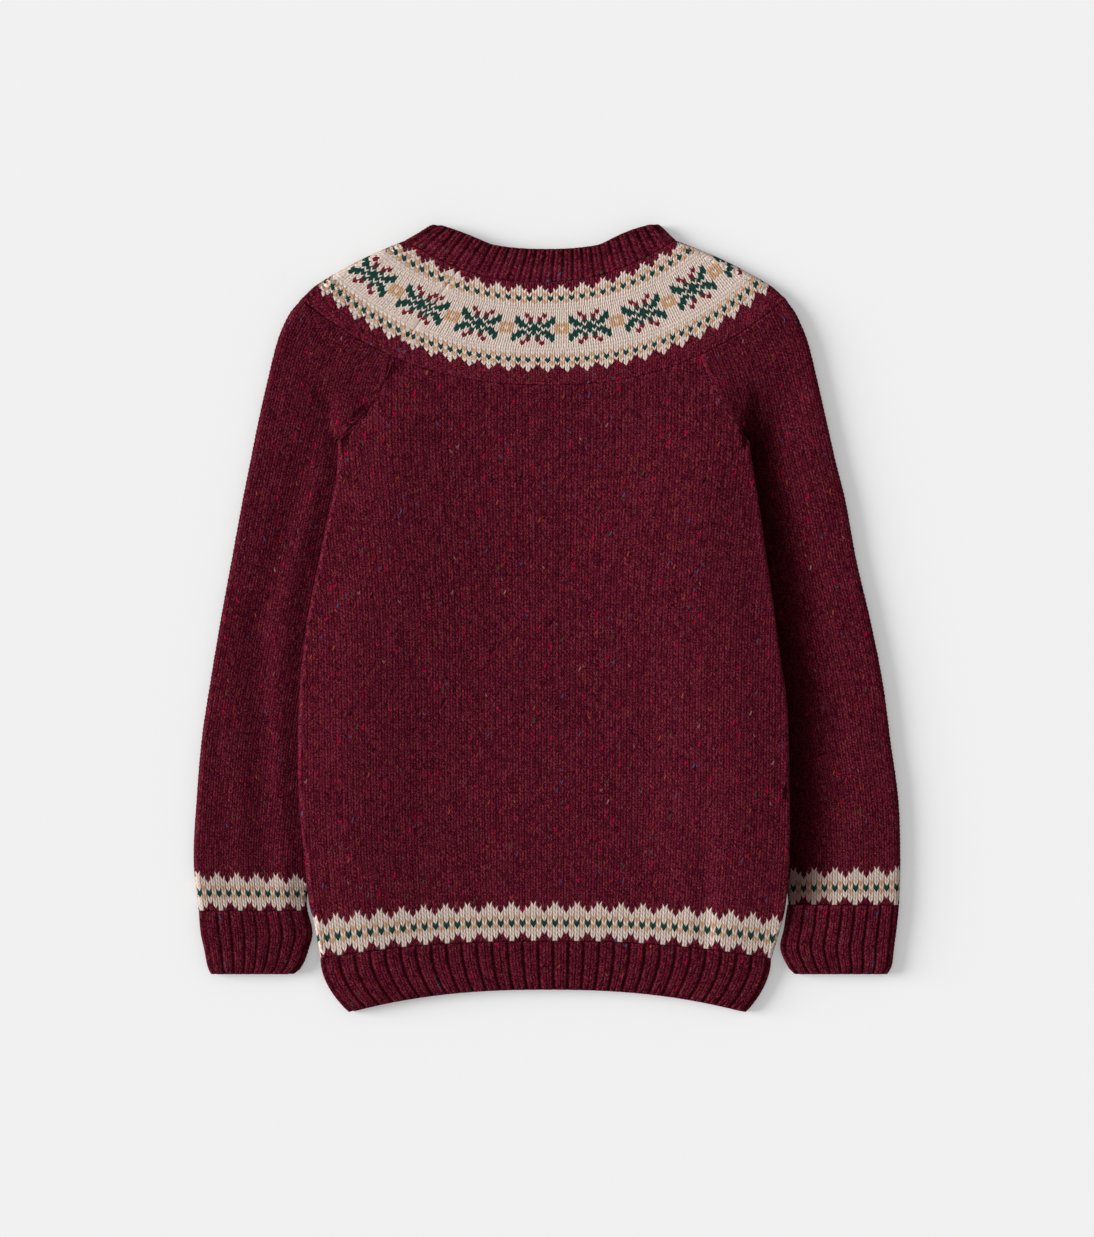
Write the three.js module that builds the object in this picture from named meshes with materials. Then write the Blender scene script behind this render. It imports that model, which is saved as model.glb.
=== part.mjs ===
// A knitted jumper with a patterned round yoke, laid flat on its front with the sleeves beside the body.
// Millimetres, +X across to the right, +Y from the hem to the neck, +Z up from the surface it lies on.
import * as THREE from 'three';

// The knitted wall and the spaces between walls
const WALL = 2.6;
const SEAM = 0.3;
const LAYER_SPACE = 0.5;
const FOLDED_SPACE = 0.4;
const BODY_SPACE = 3.2;
const SLEEVE_SPACE = 3.2;
const CUFF_END_SPACE = 1.8;
const EDGE_SPACE = 1.0;

// Ribs of the hem, the cuffs and the neckband
const RIB_HEIGHT = 1.1;
const RIB_POINTS = 3;
const RIB_MARGIN = 5.2;
const HEM_RIBS = 29;
const CUFF_RIBS = 8;
const NECK_RIBS = 24;

// Body: the armpits, the neck end of each raglan line, and the curve of that line
const ARMPIT_Y = 123.6;
const RAGLAN = {
  left: { armpit: 146.3, neck: 110, neckY: 183.8, bend: 1.9 },
  right: { armpit: 141.4, neck: 107.5, neckY: 184, bend: 1.35 },
};

// Yoke: the shoulder corners, and how low the seam under it reaches on the back and the front
const SHOULDER = { left: 174.3, right: 169.4, y: 225.1 };
const YOKE_SEAM_Y = { back: 162.8, front: 148.8 };
const FRONT_RAGLAN_SHARE = 0.8;
const SHOULDER_BULGE = { height: 3, power: 6 };
// How near its end a fold's direction is taken, as shares of the width of its piece
const FOLD_NEAR = { plain: 0.02, sleeve: 0.05, yoke: 0.0093 };

// Neckband: its seam and its edge, at the two sides and at the middle of the back and the front
const NECK_SEAM = { left: 99.4, right: 90.3, y: 264.6, back: 231.4, front: 206.9, bend: 2.1 };
const NECK_EDGE = { left: 80, right: 78.5, y: 277, back: 258.7, front: 233.5, bend: 2.4 };

// Hem rib: its seam and its edge, which bow up at the middle
const HEM_SEAM = { middle: -226.5, drop: 12.5, left: 158.9, right: 157.2 };
const HEM_EDGE = { middle: -260.8, drop: 16.2, left: 139, right: 139.5 };
const HEM_BEND = 2.35;

// Cuffs: where their seams and edges lie
const CUFF = {
  left: { seamY: -205.5, edgeY: -250 },
  right: { seamY: -201.5, edgeY: -250 },
};

// Radius of the body's side folds
const EDGE_RADIUS = WALL + EDGE_SPACE / 2;

// How far the body rises over the sleeve that is tucked under its edge
const TUBE_LOW = 2 * WALL + FOLDED_SPACE;
const LIFT = TUBE_LOW + LAYER_SPACE;
const LIFT_MARGIN = 5;
const LIFT_RAMP = 40;
const LIFT_ABOVE_ARMPIT = 34;
const LIFT_FADE = { from: -192, to: -262 };

// Where the shelf beside each armpit starts, above it, and how wide the dip beside it is
const SHELF = { left: { topY: 168, lean: 5.5 }, right: { topY: 174, lean: 5 } };
const SHELF_STEP = 7;
const SHELF_START = 10;
const DIP_WIDTH = { left: 15, right: 27 };
const DIP_FADE = { from: 0.45, to: 1.1 };

// Half widths of the body at heights up the garment, and how far the sleeve is tucked under its edge
const BODY_OUTLINE = [
  { y: -240, left: 158.9, right: 157.2, tuck: 0 },
  { y: -214, left: 163.1, right: 164.5, tuck: -2 },
  { y: -200, left: 166.6, right: 167.3, tuck: -2 },
  { y: -165, left: 170.1, right: 170.1, tuck: 7 },
  { y: -130, left: 173.6, right: 170.1, tuck: 16 },
  { y: -90, left: 174.3, right: 169.4, tuck: 24 },
  { y: -58, left: 173.6, right: 168, tuck: 30 },
  { y: -24, left: 170.8, right: 163.1, tuck: 35 },
  { y: 13, left: 165.2, right: 158.2, tuck: 38 },
  { y: 46, left: 158.2, right: 153.3, tuck: 37 },
  { y: 76, left: 151.9, right: 149.1, tuck: 30 },
  { y: 95, left: 147.7, right: 146, tuck: 20 },
  { y: 123.6, left: 146.3, right: 141.4, tuck: -0.5 },
];

// Outer edges of the sleeves, from the cuff seams up to the shoulder corners
const SLEEVE_OUTLINE = [
  { y: -205.5, left: 244.3, right: 246.9 },
  { y: -170, left: 247.8, right: 247.8 },
  { y: -128, left: 245.7, right: 246.4 },
  { y: -86, left: 242.2, right: 240.8 },
  { y: -44, left: 235.9, right: 235.2 },
  { y: -2, left: 228.9, right: 226.8 },
  { y: 40, left: 221.2, right: 217 },
  { y: 82, left: 213.5, right: 209.3 },
  { y: 110, left: 207.9, right: 202.3 },
  { y: 138, left: 202.3, right: 196 },
  { y: 166, left: 196, right: 189.7 },
  { y: 194, left: 189, right: 182.7 },
  { y: 208, left: 183.4, right: 177.1 },
  { y: 225.1, left: 174.3, right: 169.4 },
];

// Edges of the cuffs, from the seam (0) to the open end (1)
const CUFF_OUTLINE = [
  { share: 0, leftOuter: 244.3, leftInner: 168.2, rightOuter: 246.8, rightInner: 168.8 },
  { share: 0.35, leftOuter: 242.9, leftInner: 164.8, rightOuter: 245, rightInner: 166.3 },
  { share: 0.62, leftOuter: 239.6, leftInner: 167.6, rightOuter: 243.3, rightInner: 163.8 },
  { share: 0.87, leftOuter: 236.4, leftInner: 172.9, rightOuter: 241.4, rightInner: 169.5 },
  { share: 1, leftOuter: 232.6, leftInner: 179.4, rightOuter: 236.6, rightInner: 175.4 },
];

// Soft folds, as dips along a line up the garment
const FOLDS = [
  { x: -192, slope: -0.014, fromY: -175, toY: 110, width: 11, depth: 1.3 },
  { x: -222, slope: -0.1, fromY: -190, toY: -60, width: 8, depth: 0.6 },
  { x: 110.6, slope: 0, fromY: -232, toY: -140, width: 7, depth: 1.1 },
  { x: 58, slope: 0.02, fromY: -165, toY: -20, width: 12, depth: 0.6 },
  { x: -84, slope: -0.03, fromY: -150, toY: 20, width: 14, depth: 0.4 },
  { x: 212, slope: -0.09, fromY: -150, toY: 60, width: 12, depth: 0.5 },
];

// How a fold starts and ends, before and past its two heights
const FOLD_FADE = { before: 25, past: 25, start: 10 };

// Heights of the rows that the body and the sleeves share, from the armpit down
const SHARED_ROWS = [ARMPIT_Y, 109, 92, 68, 38, 5, -30, -65, -100, -135, -165, -190];
const RAGLAN_ROWS = 5;
const RAGLAN_MARGIN = 4;
const BODY_FLAT_SHARES = [0.14, 0.28, 0.42, 0.56, 0.7, 0.85];
const BODY_RAMP_SHARES = [0, 0.25, 0.5, 0.75, 1];
const FOLD_TURNS = [0, 45, 90];
const HEM_ROW_SHARES = [0.5, 1];
const YOKE_ROWS = [0, 0.3, 0.65, 1];
const RIB_ROWS = [
  { share: 0, rise: 0.35 },
  { share: 0.12, rise: 1 },
  { share: 0.6, rise: 1 },
  { share: 1, rise: 0.7 },
];

const WINE = 0x52161f;
const OATMEAL = 0xcdb3a2;

const { lerp, smoothstep, degToRad } = THREE.MathUtils;
const SIDES = { left: -1, right: 1 };
const sideOf = (x) => (x < 0 ? 'left' : 'right');
const evenShares = (count) => Array.from({ length: count + 1 }, (_, index) => index / count);

// A value from a table, on a smooth curve through the rows
function read(table, key, place, column) {
  const last = table.length - 1;
  const inside = Math.min(Math.max(place, table[0][key]), table[last][key]);
  let index = 0;
  while (index < last - 1 && inside > table[index + 1][key]) index += 1;
  const slope = (row) => {
    const before = table[Math.max(row - 1, 0)];
    const after = table[Math.min(row + 1, last)];
    return (after[column] - before[column]) / (after[key] - before[key]);
  };
  const span = table[index + 1][key] - table[index][key];
  const t = (inside - table[index][key]) / span;
  const start = table[index][column];
  const end = table[index + 1][column];
  const bend = (1 - t) * slope(index) * span - t * slope(index + 1) * span + (2 * t - 1) * (end - start);
  return start + (end - start) * t + t * (1 - t) * bend;
}

const bodyEdge = (side, y) => SIDES[side] * read(BODY_OUTLINE, 'y', y, side);
const sleeveEdge = (side, y) => SIDES[side] * read(SLEEVE_OUTLINE, 'y', y, side);
const tuckedEdge = (side, y) => bodyEdge(side, y) - SIDES[side] * read(BODY_OUTLINE, 'y', y, 'tuck');

// A point on the raglan line: share 0 at the armpit, 1 at the yoke
function raglanPoint(side, share) {
  const line = RAGLAN[side];
  const x = line.neck + (line.armpit - line.neck) * (1 - share) ** line.bend;
  return [SIDES[side] * x, lerp(ARMPIT_Y, line.neckY, share)];
}

// Height up the garment of the seam under the yoke, at a distance from the middle line
function yokeSeamY(face, x) {
  const side = sideOf(x);
  const rise = SHOULDER.y - YOKE_SEAM_Y[face];
  const [neckX, neckY] = raglanPoint(side, face === 'back' ? 1 : FRONT_RAGLAN_SHARE);
  const bend = Math.log((neckY - YOKE_SEAM_Y[face]) / rise) / Math.log(Math.abs(neckX) / SHOULDER[side]);
  return YOKE_SEAM_Y[face] + rise * Math.min(Math.abs(x) / SHOULDER[side], 1) ** bend;
}

// How high the underside of the body lies: on the surface, or over a tucked sleeve
function bodyLift(x, y) {
  const side = sideOf(x);
  const share = (y - ARMPIT_Y) / (RAGLAN[side].neckY - ARMPIT_Y);
  const reach = y > ARMPIT_Y ? raglanPoint(side, Math.min(share, 1))[0] : tuckedEdge(side, y);
  const full = Math.abs(reach) - LIFT_MARGIN;
  const above = 1 - smoothstep(y, ARMPIT_Y, ARMPIT_Y + LIFT_ABOVE_ARMPIT);
  const below = smoothstep(y, LIFT_FADE.to, LIFT_FADE.from);
  return LIFT * smoothstep(Math.abs(x), full - LIFT_RAMP, full) * above * below;
}

// Depth of the soft folds at a place
function foldDepth(x, y) {
  return FOLDS.reduce((sum, fold) => {
    const middle = x - fold.x - fold.slope * (y - fold.fromY);
    const begun = smoothstep(y, fold.fromY - FOLD_FADE.before, fold.fromY + FOLD_FADE.start);
    const ended = smoothstep(y, fold.toY - FOLD_FADE.before, fold.toY + FOLD_FADE.past);
    return sum + fold.depth * begun * (1 - ended) * Math.exp(-((middle / fold.width) ** 2));
  }, 0);
}

// Top of the back, the yoke or the hem at a place
function bodyTop(x, y) {
  const side = sideOf(x);
  const inFromEdge = Math.abs(bodyEdge(side, Math.min(y, ARMPIT_Y))) - Math.abs(x);
  const above = smoothstep(y, ARMPIT_Y, ARMPIT_Y + LIFT_ABOVE_ARMPIT);
  const space = lerp(EDGE_SPACE, BODY_SPACE, Math.max(smoothstep(inFromEdge, 0, LIFT_RAMP), above));
  return bodyLift(x, y) + 2 * WALL + space - foldDepth(x, y);
}

// Top of a sleeve: low under the body's edge, dipped beside it, and full towards its outer edge
function sleeveTop(side, x, y) {
  const shelf = SHELF[side];
  const climb = Math.max(y - ARMPIT_Y, 0) / (shelf.topY - ARMPIT_Y);
  const edge = Math.abs(bodyEdge(side, Math.min(y, ARMPIT_Y))) + shelf.lean * climb;
  const out = Math.abs(x) - edge;
  const full = 2 * WALL + SLEEVE_SPACE;
  const filled = Math.max(smoothstep(out, 0, DIP_WIDTH[side]), smoothstep(climb, DIP_FADE.from, DIP_FADE.to));
  const dipped = lerp(TUBE_LOW, full, filled) - foldDepth(x, y) * filled;
  const onShelf = y > ARMPIT_Y ? smoothstep(-out, -SHELF_STEP / 2, SHELF_STEP / 2) : 0;
  return lerp(dipped, bodyTop(x, y), onShelf * smoothstep(y, ARMPIT_Y, ARMPIT_Y + SHELF_START));
}

// A closed wall from rows of points, each with an outer and an inner place. It has rims at its ends,
// and at its sides too unless the rows close on themselves.
function wallGeometry(rows, closed) {
  const height = rows.length;
  const width = rows[0].length;
  const positions = [];
  for (const face of ['outer', 'inner']) {
    for (const row of rows) for (const point of row) positions.push(...point[face]);
  }
  const outer = (row, column) => row * width + (column % width);
  const inner = (row, column) => height * width + outer(row, column);
  const triangles = [];
  const quad = (a, b, c, d) => triangles.push(a, b, c, a, c, d);
  const columns = closed ? width : width - 1;
  for (let row = 0; row < height - 1; row += 1) {
    for (let column = 0; column < columns; column += 1) {
      const [nextRow, nextColumn] = [row + 1, column + 1];
      quad(outer(row, column), outer(row, nextColumn), outer(nextRow, nextColumn), outer(nextRow, column));
      quad(inner(row, column), inner(nextRow, column), inner(nextRow, nextColumn), inner(row, nextColumn));
    }
    if (!closed) {
      const end = width - 1;
      quad(outer(row, 0), outer(row + 1, 0), inner(row + 1, 0), inner(row, 0));
      quad(outer(row + 1, end), outer(row, end), inner(row, end), inner(row + 1, end));
    }
  }
  for (let column = 0; column < columns; column += 1) {
    const top = height - 1;
    quad(outer(0, column + 1), outer(0, column), inner(0, column), inner(0, column + 1));
    quad(outer(top, column), outer(top, column + 1), inner(top, column + 1), inner(top, column));
  }
  const geometry = new THREE.BufferGeometry();
  geometry.setAttribute('position', new THREE.Float32BufferAttribute(positions, 3));
  geometry.setIndex(facesOut(positions, triangles));
  geometry.computeVertexNormals();
  return geometry;
}

// Turns every triangle over where the solid would be inside out
function facesOut(positions, triangles) {
  const corner = (index) => new THREE.Vector3().fromArray(positions, index * 3);
  let volume = 0;
  for (let start = 0; start < triangles.length; start += 3) {
    const [a, b, c] = [corner(triangles[start]), corner(triangles[start + 1]), corner(triangles[start + 2])];
    volume += a.dot(b.cross(c));
  }
  return volume > 0 ? triangles : triangles.reverse();
}

function piece(name, geometry, color) {
  const material = new THREE.MeshStandardMaterial({ color, roughness: 0.95, metalness: 0 });
  const mesh = new THREE.Mesh(geometry, material);
  mesh.name = name;
  return mesh;
}

// Points across one half of a body row, from the middle line to the side: distance from the middle
// line, and the turn of the wall in degrees, which is 90 on the flat and 0 at the side fold
function halfStations(side, y, edge, roundness) {
  const reach = Math.abs(y > ARMPIT_Y ? edge : tuckedEdge(side, y));
  const full = Math.min(reach, Math.abs(edge) - EDGE_RADIUS) - LIFT_MARGIN;
  const ramp = full - LIFT_RAMP;
  const flat = BODY_FLAT_SHARES.map((share) => ramp * share);
  const rising = BODY_RAMP_SHARES.map((share) => ramp + LIFT_RAMP * share);
  const start = Math.abs(edge) - lerp(RAGLAN_MARGIN, EDGE_RADIUS, roundness);
  const places = [...flat, ...rising, (full + start) / 2, start];
  return [
    ...places.map((distance) => ({ distance, turn: 90 })),
    { distance: start, turn: 45 },
    { distance: start, turn: 0 },
  ];
}

// One point of a body wall: the flat part follows the heights, and the side fold is a quarter round.
// Above the armpit the side is cut square, for the raglan seam.
function bodyPoint(face, x, y, station, side, edge, roundness) {
  const up = face === 'back' ? 1 : -1;
  const lift = bodyLift(x, y);
  const top = bodyTop(x, y);
  const flatOuter = up > 0 ? top : lift;
  const flatInner = flatOuter - up * WALL;
  if (station.turn === 90) return { outer: [x, y, flatOuter], inner: [x, y, flatInner] };
  const turn = degToRad(station.turn);
  const middle = lift + EDGE_RADIUS;
  const round = (size) => [
    x + SIDES[side] * size * Math.cos(turn),
    y,
    middle + up * Math.max(size * Math.sin(turn), SEAM / 2),
  ];
  const outward = 1 - station.turn / 90;
  const square = (height) => [lerp(x, edge, outward), y, height];
  const mix = (a, b) => a.map((value, index) => lerp(value, b[index], roundness));
  return {
    outer: mix(square(flatOuter), round(EDGE_RADIUS)),
    inner: mix(square(flatInner), round(EDGE_RADIUS - WALL)),
  };
}

// A whole body row from the left side to the right side
function bodyRow(face, yAt, edges, roundness, rowY) {
  const halves = Object.keys(SIDES).map((side) => {
    const stations = halfStations(side, rowY, edges[side], roundness);
    return stations.map((station) => {
      const x = SIDES[side] * station.distance;
      return bodyPoint(face, x, yAt(x), station, side, edges[side], roundness);
    });
  });
  const middle = bodyPoint(face, 0, yAt(0), { turn: 90 }, 'left', 0, 0);
  return [...halves[0].reverse(), middle, ...halves[1]];
}

const hemCurve = (line, x) => line.middle - line.drop * Math.abs(x / line[sideOf(x)]) ** HEM_BEND;

// The back or the front of the body, from the hem seam to the yoke seam
function bodyPanel(face) {
  const rows = [];
  const share = face === 'back' ? 1 : FRONT_RAGLAN_SHARE;
  for (let index = RAGLAN_ROWS; index > 0; index -= 1) {
    const climb = (index / RAGLAN_ROWS) * share;
    const sides = { left: raglanPoint('left', climb), right: raglanPoint('right', climb) };
    const edges = { left: sides.left[0] + SEAM / 2, right: sides.right[0] - SEAM / 2 };
    const yAt = (x) => {
      const side = sideOf(x);
      const seamX = (x * raglanPoint(side, share)[0]) / sides[side][0];
      const y = lerp(ARMPIT_Y, yokeSeamY(face, seamX), index / RAGLAN_ROWS);
      return index === RAGLAN_ROWS ? y - SEAM / 2 : y;
    };
    rows.push(bodyRow(face, yAt, edges, 0, sides.left[1]));
  }
  for (const y of SHARED_ROWS) {
    const edges = { left: bodyEdge('left', y), right: bodyEdge('right', y) };
    rows.push(bodyRow(face, () => y, edges, 1, y));
  }
  for (const down of HEM_ROW_SHARES) {
    const rowY = lerp(SHARED_ROWS.at(-1), HEM_SEAM.middle - HEM_SEAM.drop, down);
    const edges = { left: bodyEdge('left', rowY), right: bodyEdge('right', rowY) };
    const yAt = (x) => lerp(SHARED_ROWS.at(-1), hemCurve(HEM_SEAM, x) + SEAM / 2, down);
    rows.push(bodyRow(face, yAt, edges, 1, rowY));
  }
  return wallGeometry(rows, false);
}

// The hem rib of one face. The back has ribs, and the front is plain because it rests on them flat.
function hemRib(face) {
  const up = face === 'back' ? 1 : -1;
  const count = face === 'back' ? HEM_RIBS * RIB_POINTS : HEM_RIBS;
  const rows = RIB_ROWS.map(({ share, rise }) => {
    const narrowing = share ** 2;
    const edges = {
      left: -lerp(HEM_SEAM.left, HEM_EDGE.left, narrowing),
      right: lerp(HEM_SEAM.right, HEM_EDGE.right, narrowing),
    };
    const curve = {
      middle: lerp(HEM_SEAM.middle - SEAM / 2, HEM_EDGE.middle, share),
      drop: lerp(HEM_SEAM.drop, HEM_EDGE.drop, share),
      left: -edges.left,
      right: edges.right,
    };
    const point = (x, y, turn, ribs, side) => {
      const station = { turn };
      const found = bodyPoint(face, x, y, station, side, edges[side], 1);
      const raised = RIB_HEIGHT * rise * ribs * (up > 0 ? 1 : 0);
      found.outer[2] += raised * Math.sin(degToRad(turn));
      return found;
    };
    const flat = evenShares(count).map((place, index) => {
      const x = lerp(edges.left + EDGE_RADIUS, edges.right - EDGE_RADIUS, place);
      const ribs = index % RIB_POINTS === 0 ? 0 : 1;
      return point(x, hemCurve(curve, x), 90, ribs, sideOf(x));
    });
    const fold = (side) => {
      const x = edges[side] - SIDES[side] * EDGE_RADIUS;
      return [45, 0].map((turn) => point(x, hemCurve(curve, edges[side]), turn, 1, side));
    };
    return [...fold('left').reverse(), ...flat, ...fold('right')];
  });
  return wallGeometry(rows, false);
}

// One row of a flattened tube. Shares across run from 0 at its first edge to 1 at its second edge.
// plan gives the place on each face, top gives the height of the upper face, across and under list
// the points on the two faces, and the edges are half rounds. The first edge may have a slit.
function tubeRow({ plan, top, across, under, slit, near = FOLD_NEAR.plain, rise = 0 }) {
  const foldAt = (share) => {
    const [edgeX, edgeY] = plan('top', share);
    const [backX, backY] = plan('top', share === 0 ? near : 1 - near);
    const outward = new THREE.Vector2(edgeX - backX, edgeY - backY).normalize();
    const half = top(edgeX, edgeY) / 2;
    const centre = [edgeX - outward.x * half, edgeY - outward.y * half];
    return (degrees, shift = 0) => {
      const turn = degToRad(degrees);
      const round = (size) => [
        centre[0] + outward.x * size * Math.cos(turn),
        centre[1] + outward.y * size * Math.cos(turn),
        half + size * Math.sin(turn) + shift,
      ];
      return { outer: round(half), inner: round(half - WALL) };
    };
  };
  const flat = (face, share, rib = 0) => {
    const [x, y] = plan(face, share);
    const height = face === 'top' ? top(x, y) : WALL;
    const outer = face === 'top' ? height + RIB_HEIGHT * rib * rise : 0;
    return { outer: [x, y, outer], inner: [x, y, face === 'top' ? height - WALL : height] };
  };
  const [first, second] = [foldAt(0), foldAt(1)];
  return [
    ...FOLD_TURNS.map((turn) => first(turn, slit && turn === 0 ? SEAM / 2 : 0)),
    ...across.map(({ share, rib }) => flat('top', share, rib)),
    ...[90, 45, 0, -45, -90].map((turn) => second(turn)),
    ...under.map((share) => flat('bottom', share)),
    first(-90),
    first(-45),
    ...(slit ? [first(0, -SEAM / 2)] : []),
  ];
}

const SLEEVE_ACROSS = [0.1, 0.19, 0.28, 0.4, 0.53, 0.66, 0.79, 0.9];
const SLEEVE_UNDER = [0.8, 0.6, 0.4, 0.2];
const CUT_SHARES = [0, 0.02, 0.05];
const plain = (shares) => shares.map((share) => ({ share, rib: 0 }));
const ribbed = (ribs, width) => evenShares(ribs * RIB_POINTS).map((share, index) => {
  const margin = RIB_MARGIN / width;
  return { share: lerp(margin, 1 - margin, share), rib: index % RIB_POINTS ? 1 : 0 };
});

// The place of a sleeve above the armpit: across from a raglan line to the outer edge. Climb runs
// from 0 at the armpit to 1 at the yoke, where the row follows the yoke seam.
function raglanPlan(side, climb) {
  const outerY = lerp(ARMPIT_Y, SHOULDER.y, climb);
  const gap = climb === 1 ? SEAM / 2 : 0;
  return (face, share) => {
    const seamFace = face === 'top' ? 'back' : 'front';
    const reach = face === 'top' ? 1 : FRONT_RAGLAN_SHARE;
    const [startX, startY] = raglanPoint(side, climb * reach);
    const x = lerp(startX + (SIDES[side] * SEAM) / 2, sleeveEdge(side, outerY), share);
    const [cornerX, cornerY] = raglanPoint(side, reach);
    const seamX = lerp(cornerX + (SIDES[side] * SEAM) / 2, SIDES[side] * SHOULDER[side], share);
    const bow = yokeSeamY(seamFace, seamX) - lerp(cornerY, SHOULDER.y, share);
    return [x, lerp(startY, outerY, share) + bow * climb ** 2 - gap];
  };
}

// One row of a sleeve above the armpit: its two ends are cut square, for the raglan seams
function raglanSleeveRow(side, climb) {
  const plan = raglanPlan(side, climb);
  const top = (x, y) => sleeveTop(side, x, y);
  const across = plain(SLEEVE_ACROSS);
  const row = tubeRow({ plan, top, across, under: SLEEVE_UNDER, slit: true, near: FOLD_NEAR.sleeve });
  const cut = (face) => CUT_SHARES.map((share) => {
    const [x, y] = plan(face, share);
    const lower = face === 'top' ? top(x, y) - WALL : WALL;
    return { outer: [x, y, face === 'top' ? lower + WALL : 0], inner: [x, y, lower] };
  });
  return [...cut('top'), ...row.slice(CUT_SHARES.length, -CUT_SHARES.length), ...cut('bottom').reverse()];
}

// A sleeve: a flattened tube with a slit along its underarm seam, open at the raglan lines
function sleeve(side) {
  const climbs = evenShares(RAGLAN_ROWS).slice(1).reverse();
  const above = climbs.map((climb) => raglanSleeveRow(side, climb));
  const below = [...SHARED_ROWS, CUFF[side].seamY + SEAM / 2].map((y) => {
    const plan = (face, share) => [lerp(tuckedEdge(side, y), sleeveEdge(side, y), share), y];
    const top = (x) => sleeveTop(side, x, y);
    return tubeRow({ plan, top, across: plain(SLEEVE_ACROSS), under: SLEEVE_UNDER, slit: true });
  });
  return wallGeometry([...above, ...below], false);
}

// A cuff: a ribbed ring that narrows to the open end
function cuff(side) {
  const { seamY, edgeY } = CUFF[side];
  const rows = RIB_ROWS.map(({ share, rise }) => {
    const y = lerp(seamY - SEAM / 2, edgeY, share);
    const inner = SIDES[side] * read(CUFF_OUTLINE, 'share', share, `${side}Inner`);
    const outer = SIDES[side] * read(CUFF_OUTLINE, 'share', share, `${side}Outer`);
    const plan = (face, place) => [lerp(inner, outer, place), y];
    const top = (x) => lerp(sleeveTop(side, x, seamY), 2 * WALL + CUFF_END_SPACE, share);
    const across = ribbed(CUFF_RIBS, Math.abs(outer - inner));
    return tubeRow({ plan, top, across, under: SLEEVE_UNDER, slit: false, rise });
  });
  return wallGeometry(rows, true);
}

// The curve of a neck line on one face, from the left fold (0) to the right fold (1)
function neckCurve(line, face, share) {
  const signed = share * 2 - 1;
  const middleX = (line.right - line.left) / 2;
  const half = (line.right + line.left) / 2;
  return [middleX + half * signed, line[face] + (line.y - line[face]) * Math.abs(signed) ** line.bend];
}

// Distances across of every point on the yoke seam of one face, the same as those of the body and
// the two sleeves that meet it, as shares from the left shoulder corner to the right one
function yokeSeamShares(face) {
  const reach = face === 'back' ? 1 : FRONT_RAGLAN_SHARE;
  const shared = face === 'back' ? SLEEVE_ACROSS : SLEEVE_UNDER.toReversed();
  const sleeveShares = [...CUT_SHARES, ...shared];
  const onSleeve = (side) => {
    const plan = raglanPlan(side, 1);
    return sleeveShares.map((share) => plan(face === 'back' ? 'top' : 'bottom', share)[0]);
  };
  const edges = {
    left: raglanPoint('left', reach)[0] + SEAM / 2,
    right: raglanPoint('right', reach)[0] - SEAM / 2,
  };
  const onBody = bodyRow(face, () => SHOULDER.y, edges, 0, RAGLAN.left.neckY).map((point) => point.outer[0]);
  const places = [...onSleeve('left').reverse(), ...onBody, ...onSleeve('right')];
  return places.map((x) => (x + SHOULDER.left) / (SHOULDER.left + SHOULDER.right));
}

// The yoke: a band round the shoulders, folded at both, with its own seam at the left of the back
function yoke() {
  const across = plain(yokeSeamShares('back'));
  const under = yokeSeamShares('front').reverse();
  const rows = YOKE_ROWS.map((up) => {
    const plan = (side, share) => {
      const face = side === 'top' ? 'back' : 'front';
      const low = lerp(-SHOULDER.left, SHOULDER.right, share);
      const [neckX, neckY] = neckCurve(NECK_SEAM, face, share);
      const nearFold = Math.abs(share * 2 - 1) ** SHOULDER_BULGE.power;
      const bulge = SHOULDER_BULGE.height * Math.sin(Math.PI * up) * nearFold;
      return [lerp(low, neckX, up), lerp(yokeSeamY(face, low) + SEAM / 2, neckY - SEAM / 2, up) + bulge];
    };
    const top = () => 2 * WALL + BODY_SPACE;
    const ring = tubeRow({ plan, top, across, under, slit: false, near: FOLD_NEAR.yoke });
    const ownSeam = FOLD_TURNS.length + SLEEVE_ACROSS.length + CUT_SHARES.length;
    return [...ring.slice(ownSeam), ...ring.slice(0, ownSeam)];
  });
  return wallGeometry(rows, false);
}

// The neckband: a ribbed ring that stands up from the neck seam and leans in at the shoulders
function neckband() {
  const rows = RIB_ROWS.map(({ share: up, rise }) => {
    const plan = (side, share) => {
      const face = side === 'top' ? 'back' : 'front';
      const [seamX, seamY] = neckCurve(NECK_SEAM, face, share);
      const [edgeX, edgeY] = neckCurve(NECK_EDGE, face, share);
      return [lerp(seamX, edgeX, up), lerp(seamY + SEAM / 2, edgeY, up)];
    };
    const under = evenShares(NECK_RIBS).slice(1, -1).reverse();
    const top = () => 2 * WALL + BODY_SPACE;
    const across = ribbed(NECK_RIBS, NECK_EDGE.left + NECK_EDGE.right);
    return tubeRow({ plan, top, across, under, slit: false, rise });
  });
  return wallGeometry(rows, true);
}

const jumper = new THREE.Group();
jumper.name = 'jumper';
jumper.add(piece('back', bodyPanel('back'), WINE));
jumper.add(piece('front', bodyPanel('front'), WINE));
jumper.add(piece('hem_rib_back', hemRib('back'), WINE));
jumper.add(piece('hem_rib_front', hemRib('front'), WINE));
for (const side of Object.keys(SIDES)) {
  jumper.add(piece(`sleeve_${side}`, sleeve(side), WINE));
  jumper.add(piece(`cuff_${side}`, cuff(side), WINE));
}
jumper.add(piece('yoke', yoke(), OATMEAL));
jumper.add(piece('neckband', neckband(), WINE));

export default jumper;
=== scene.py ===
"""Looks of a knitted jumper with a patterned round yoke, laid flat with its back up.

Every piece of knitted cloth is a closed shell on the form of its solid. Its outer face is a grid in
stitches: a wale is a column of stitches, and a course is a row of them. Sizes are in millimetres, as
in the part's source, and become metres when a mesh is made.
"""

import logging
import math
from abc import ABC, abstractmethod
from dataclasses import dataclass, field
from enum import Enum

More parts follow.
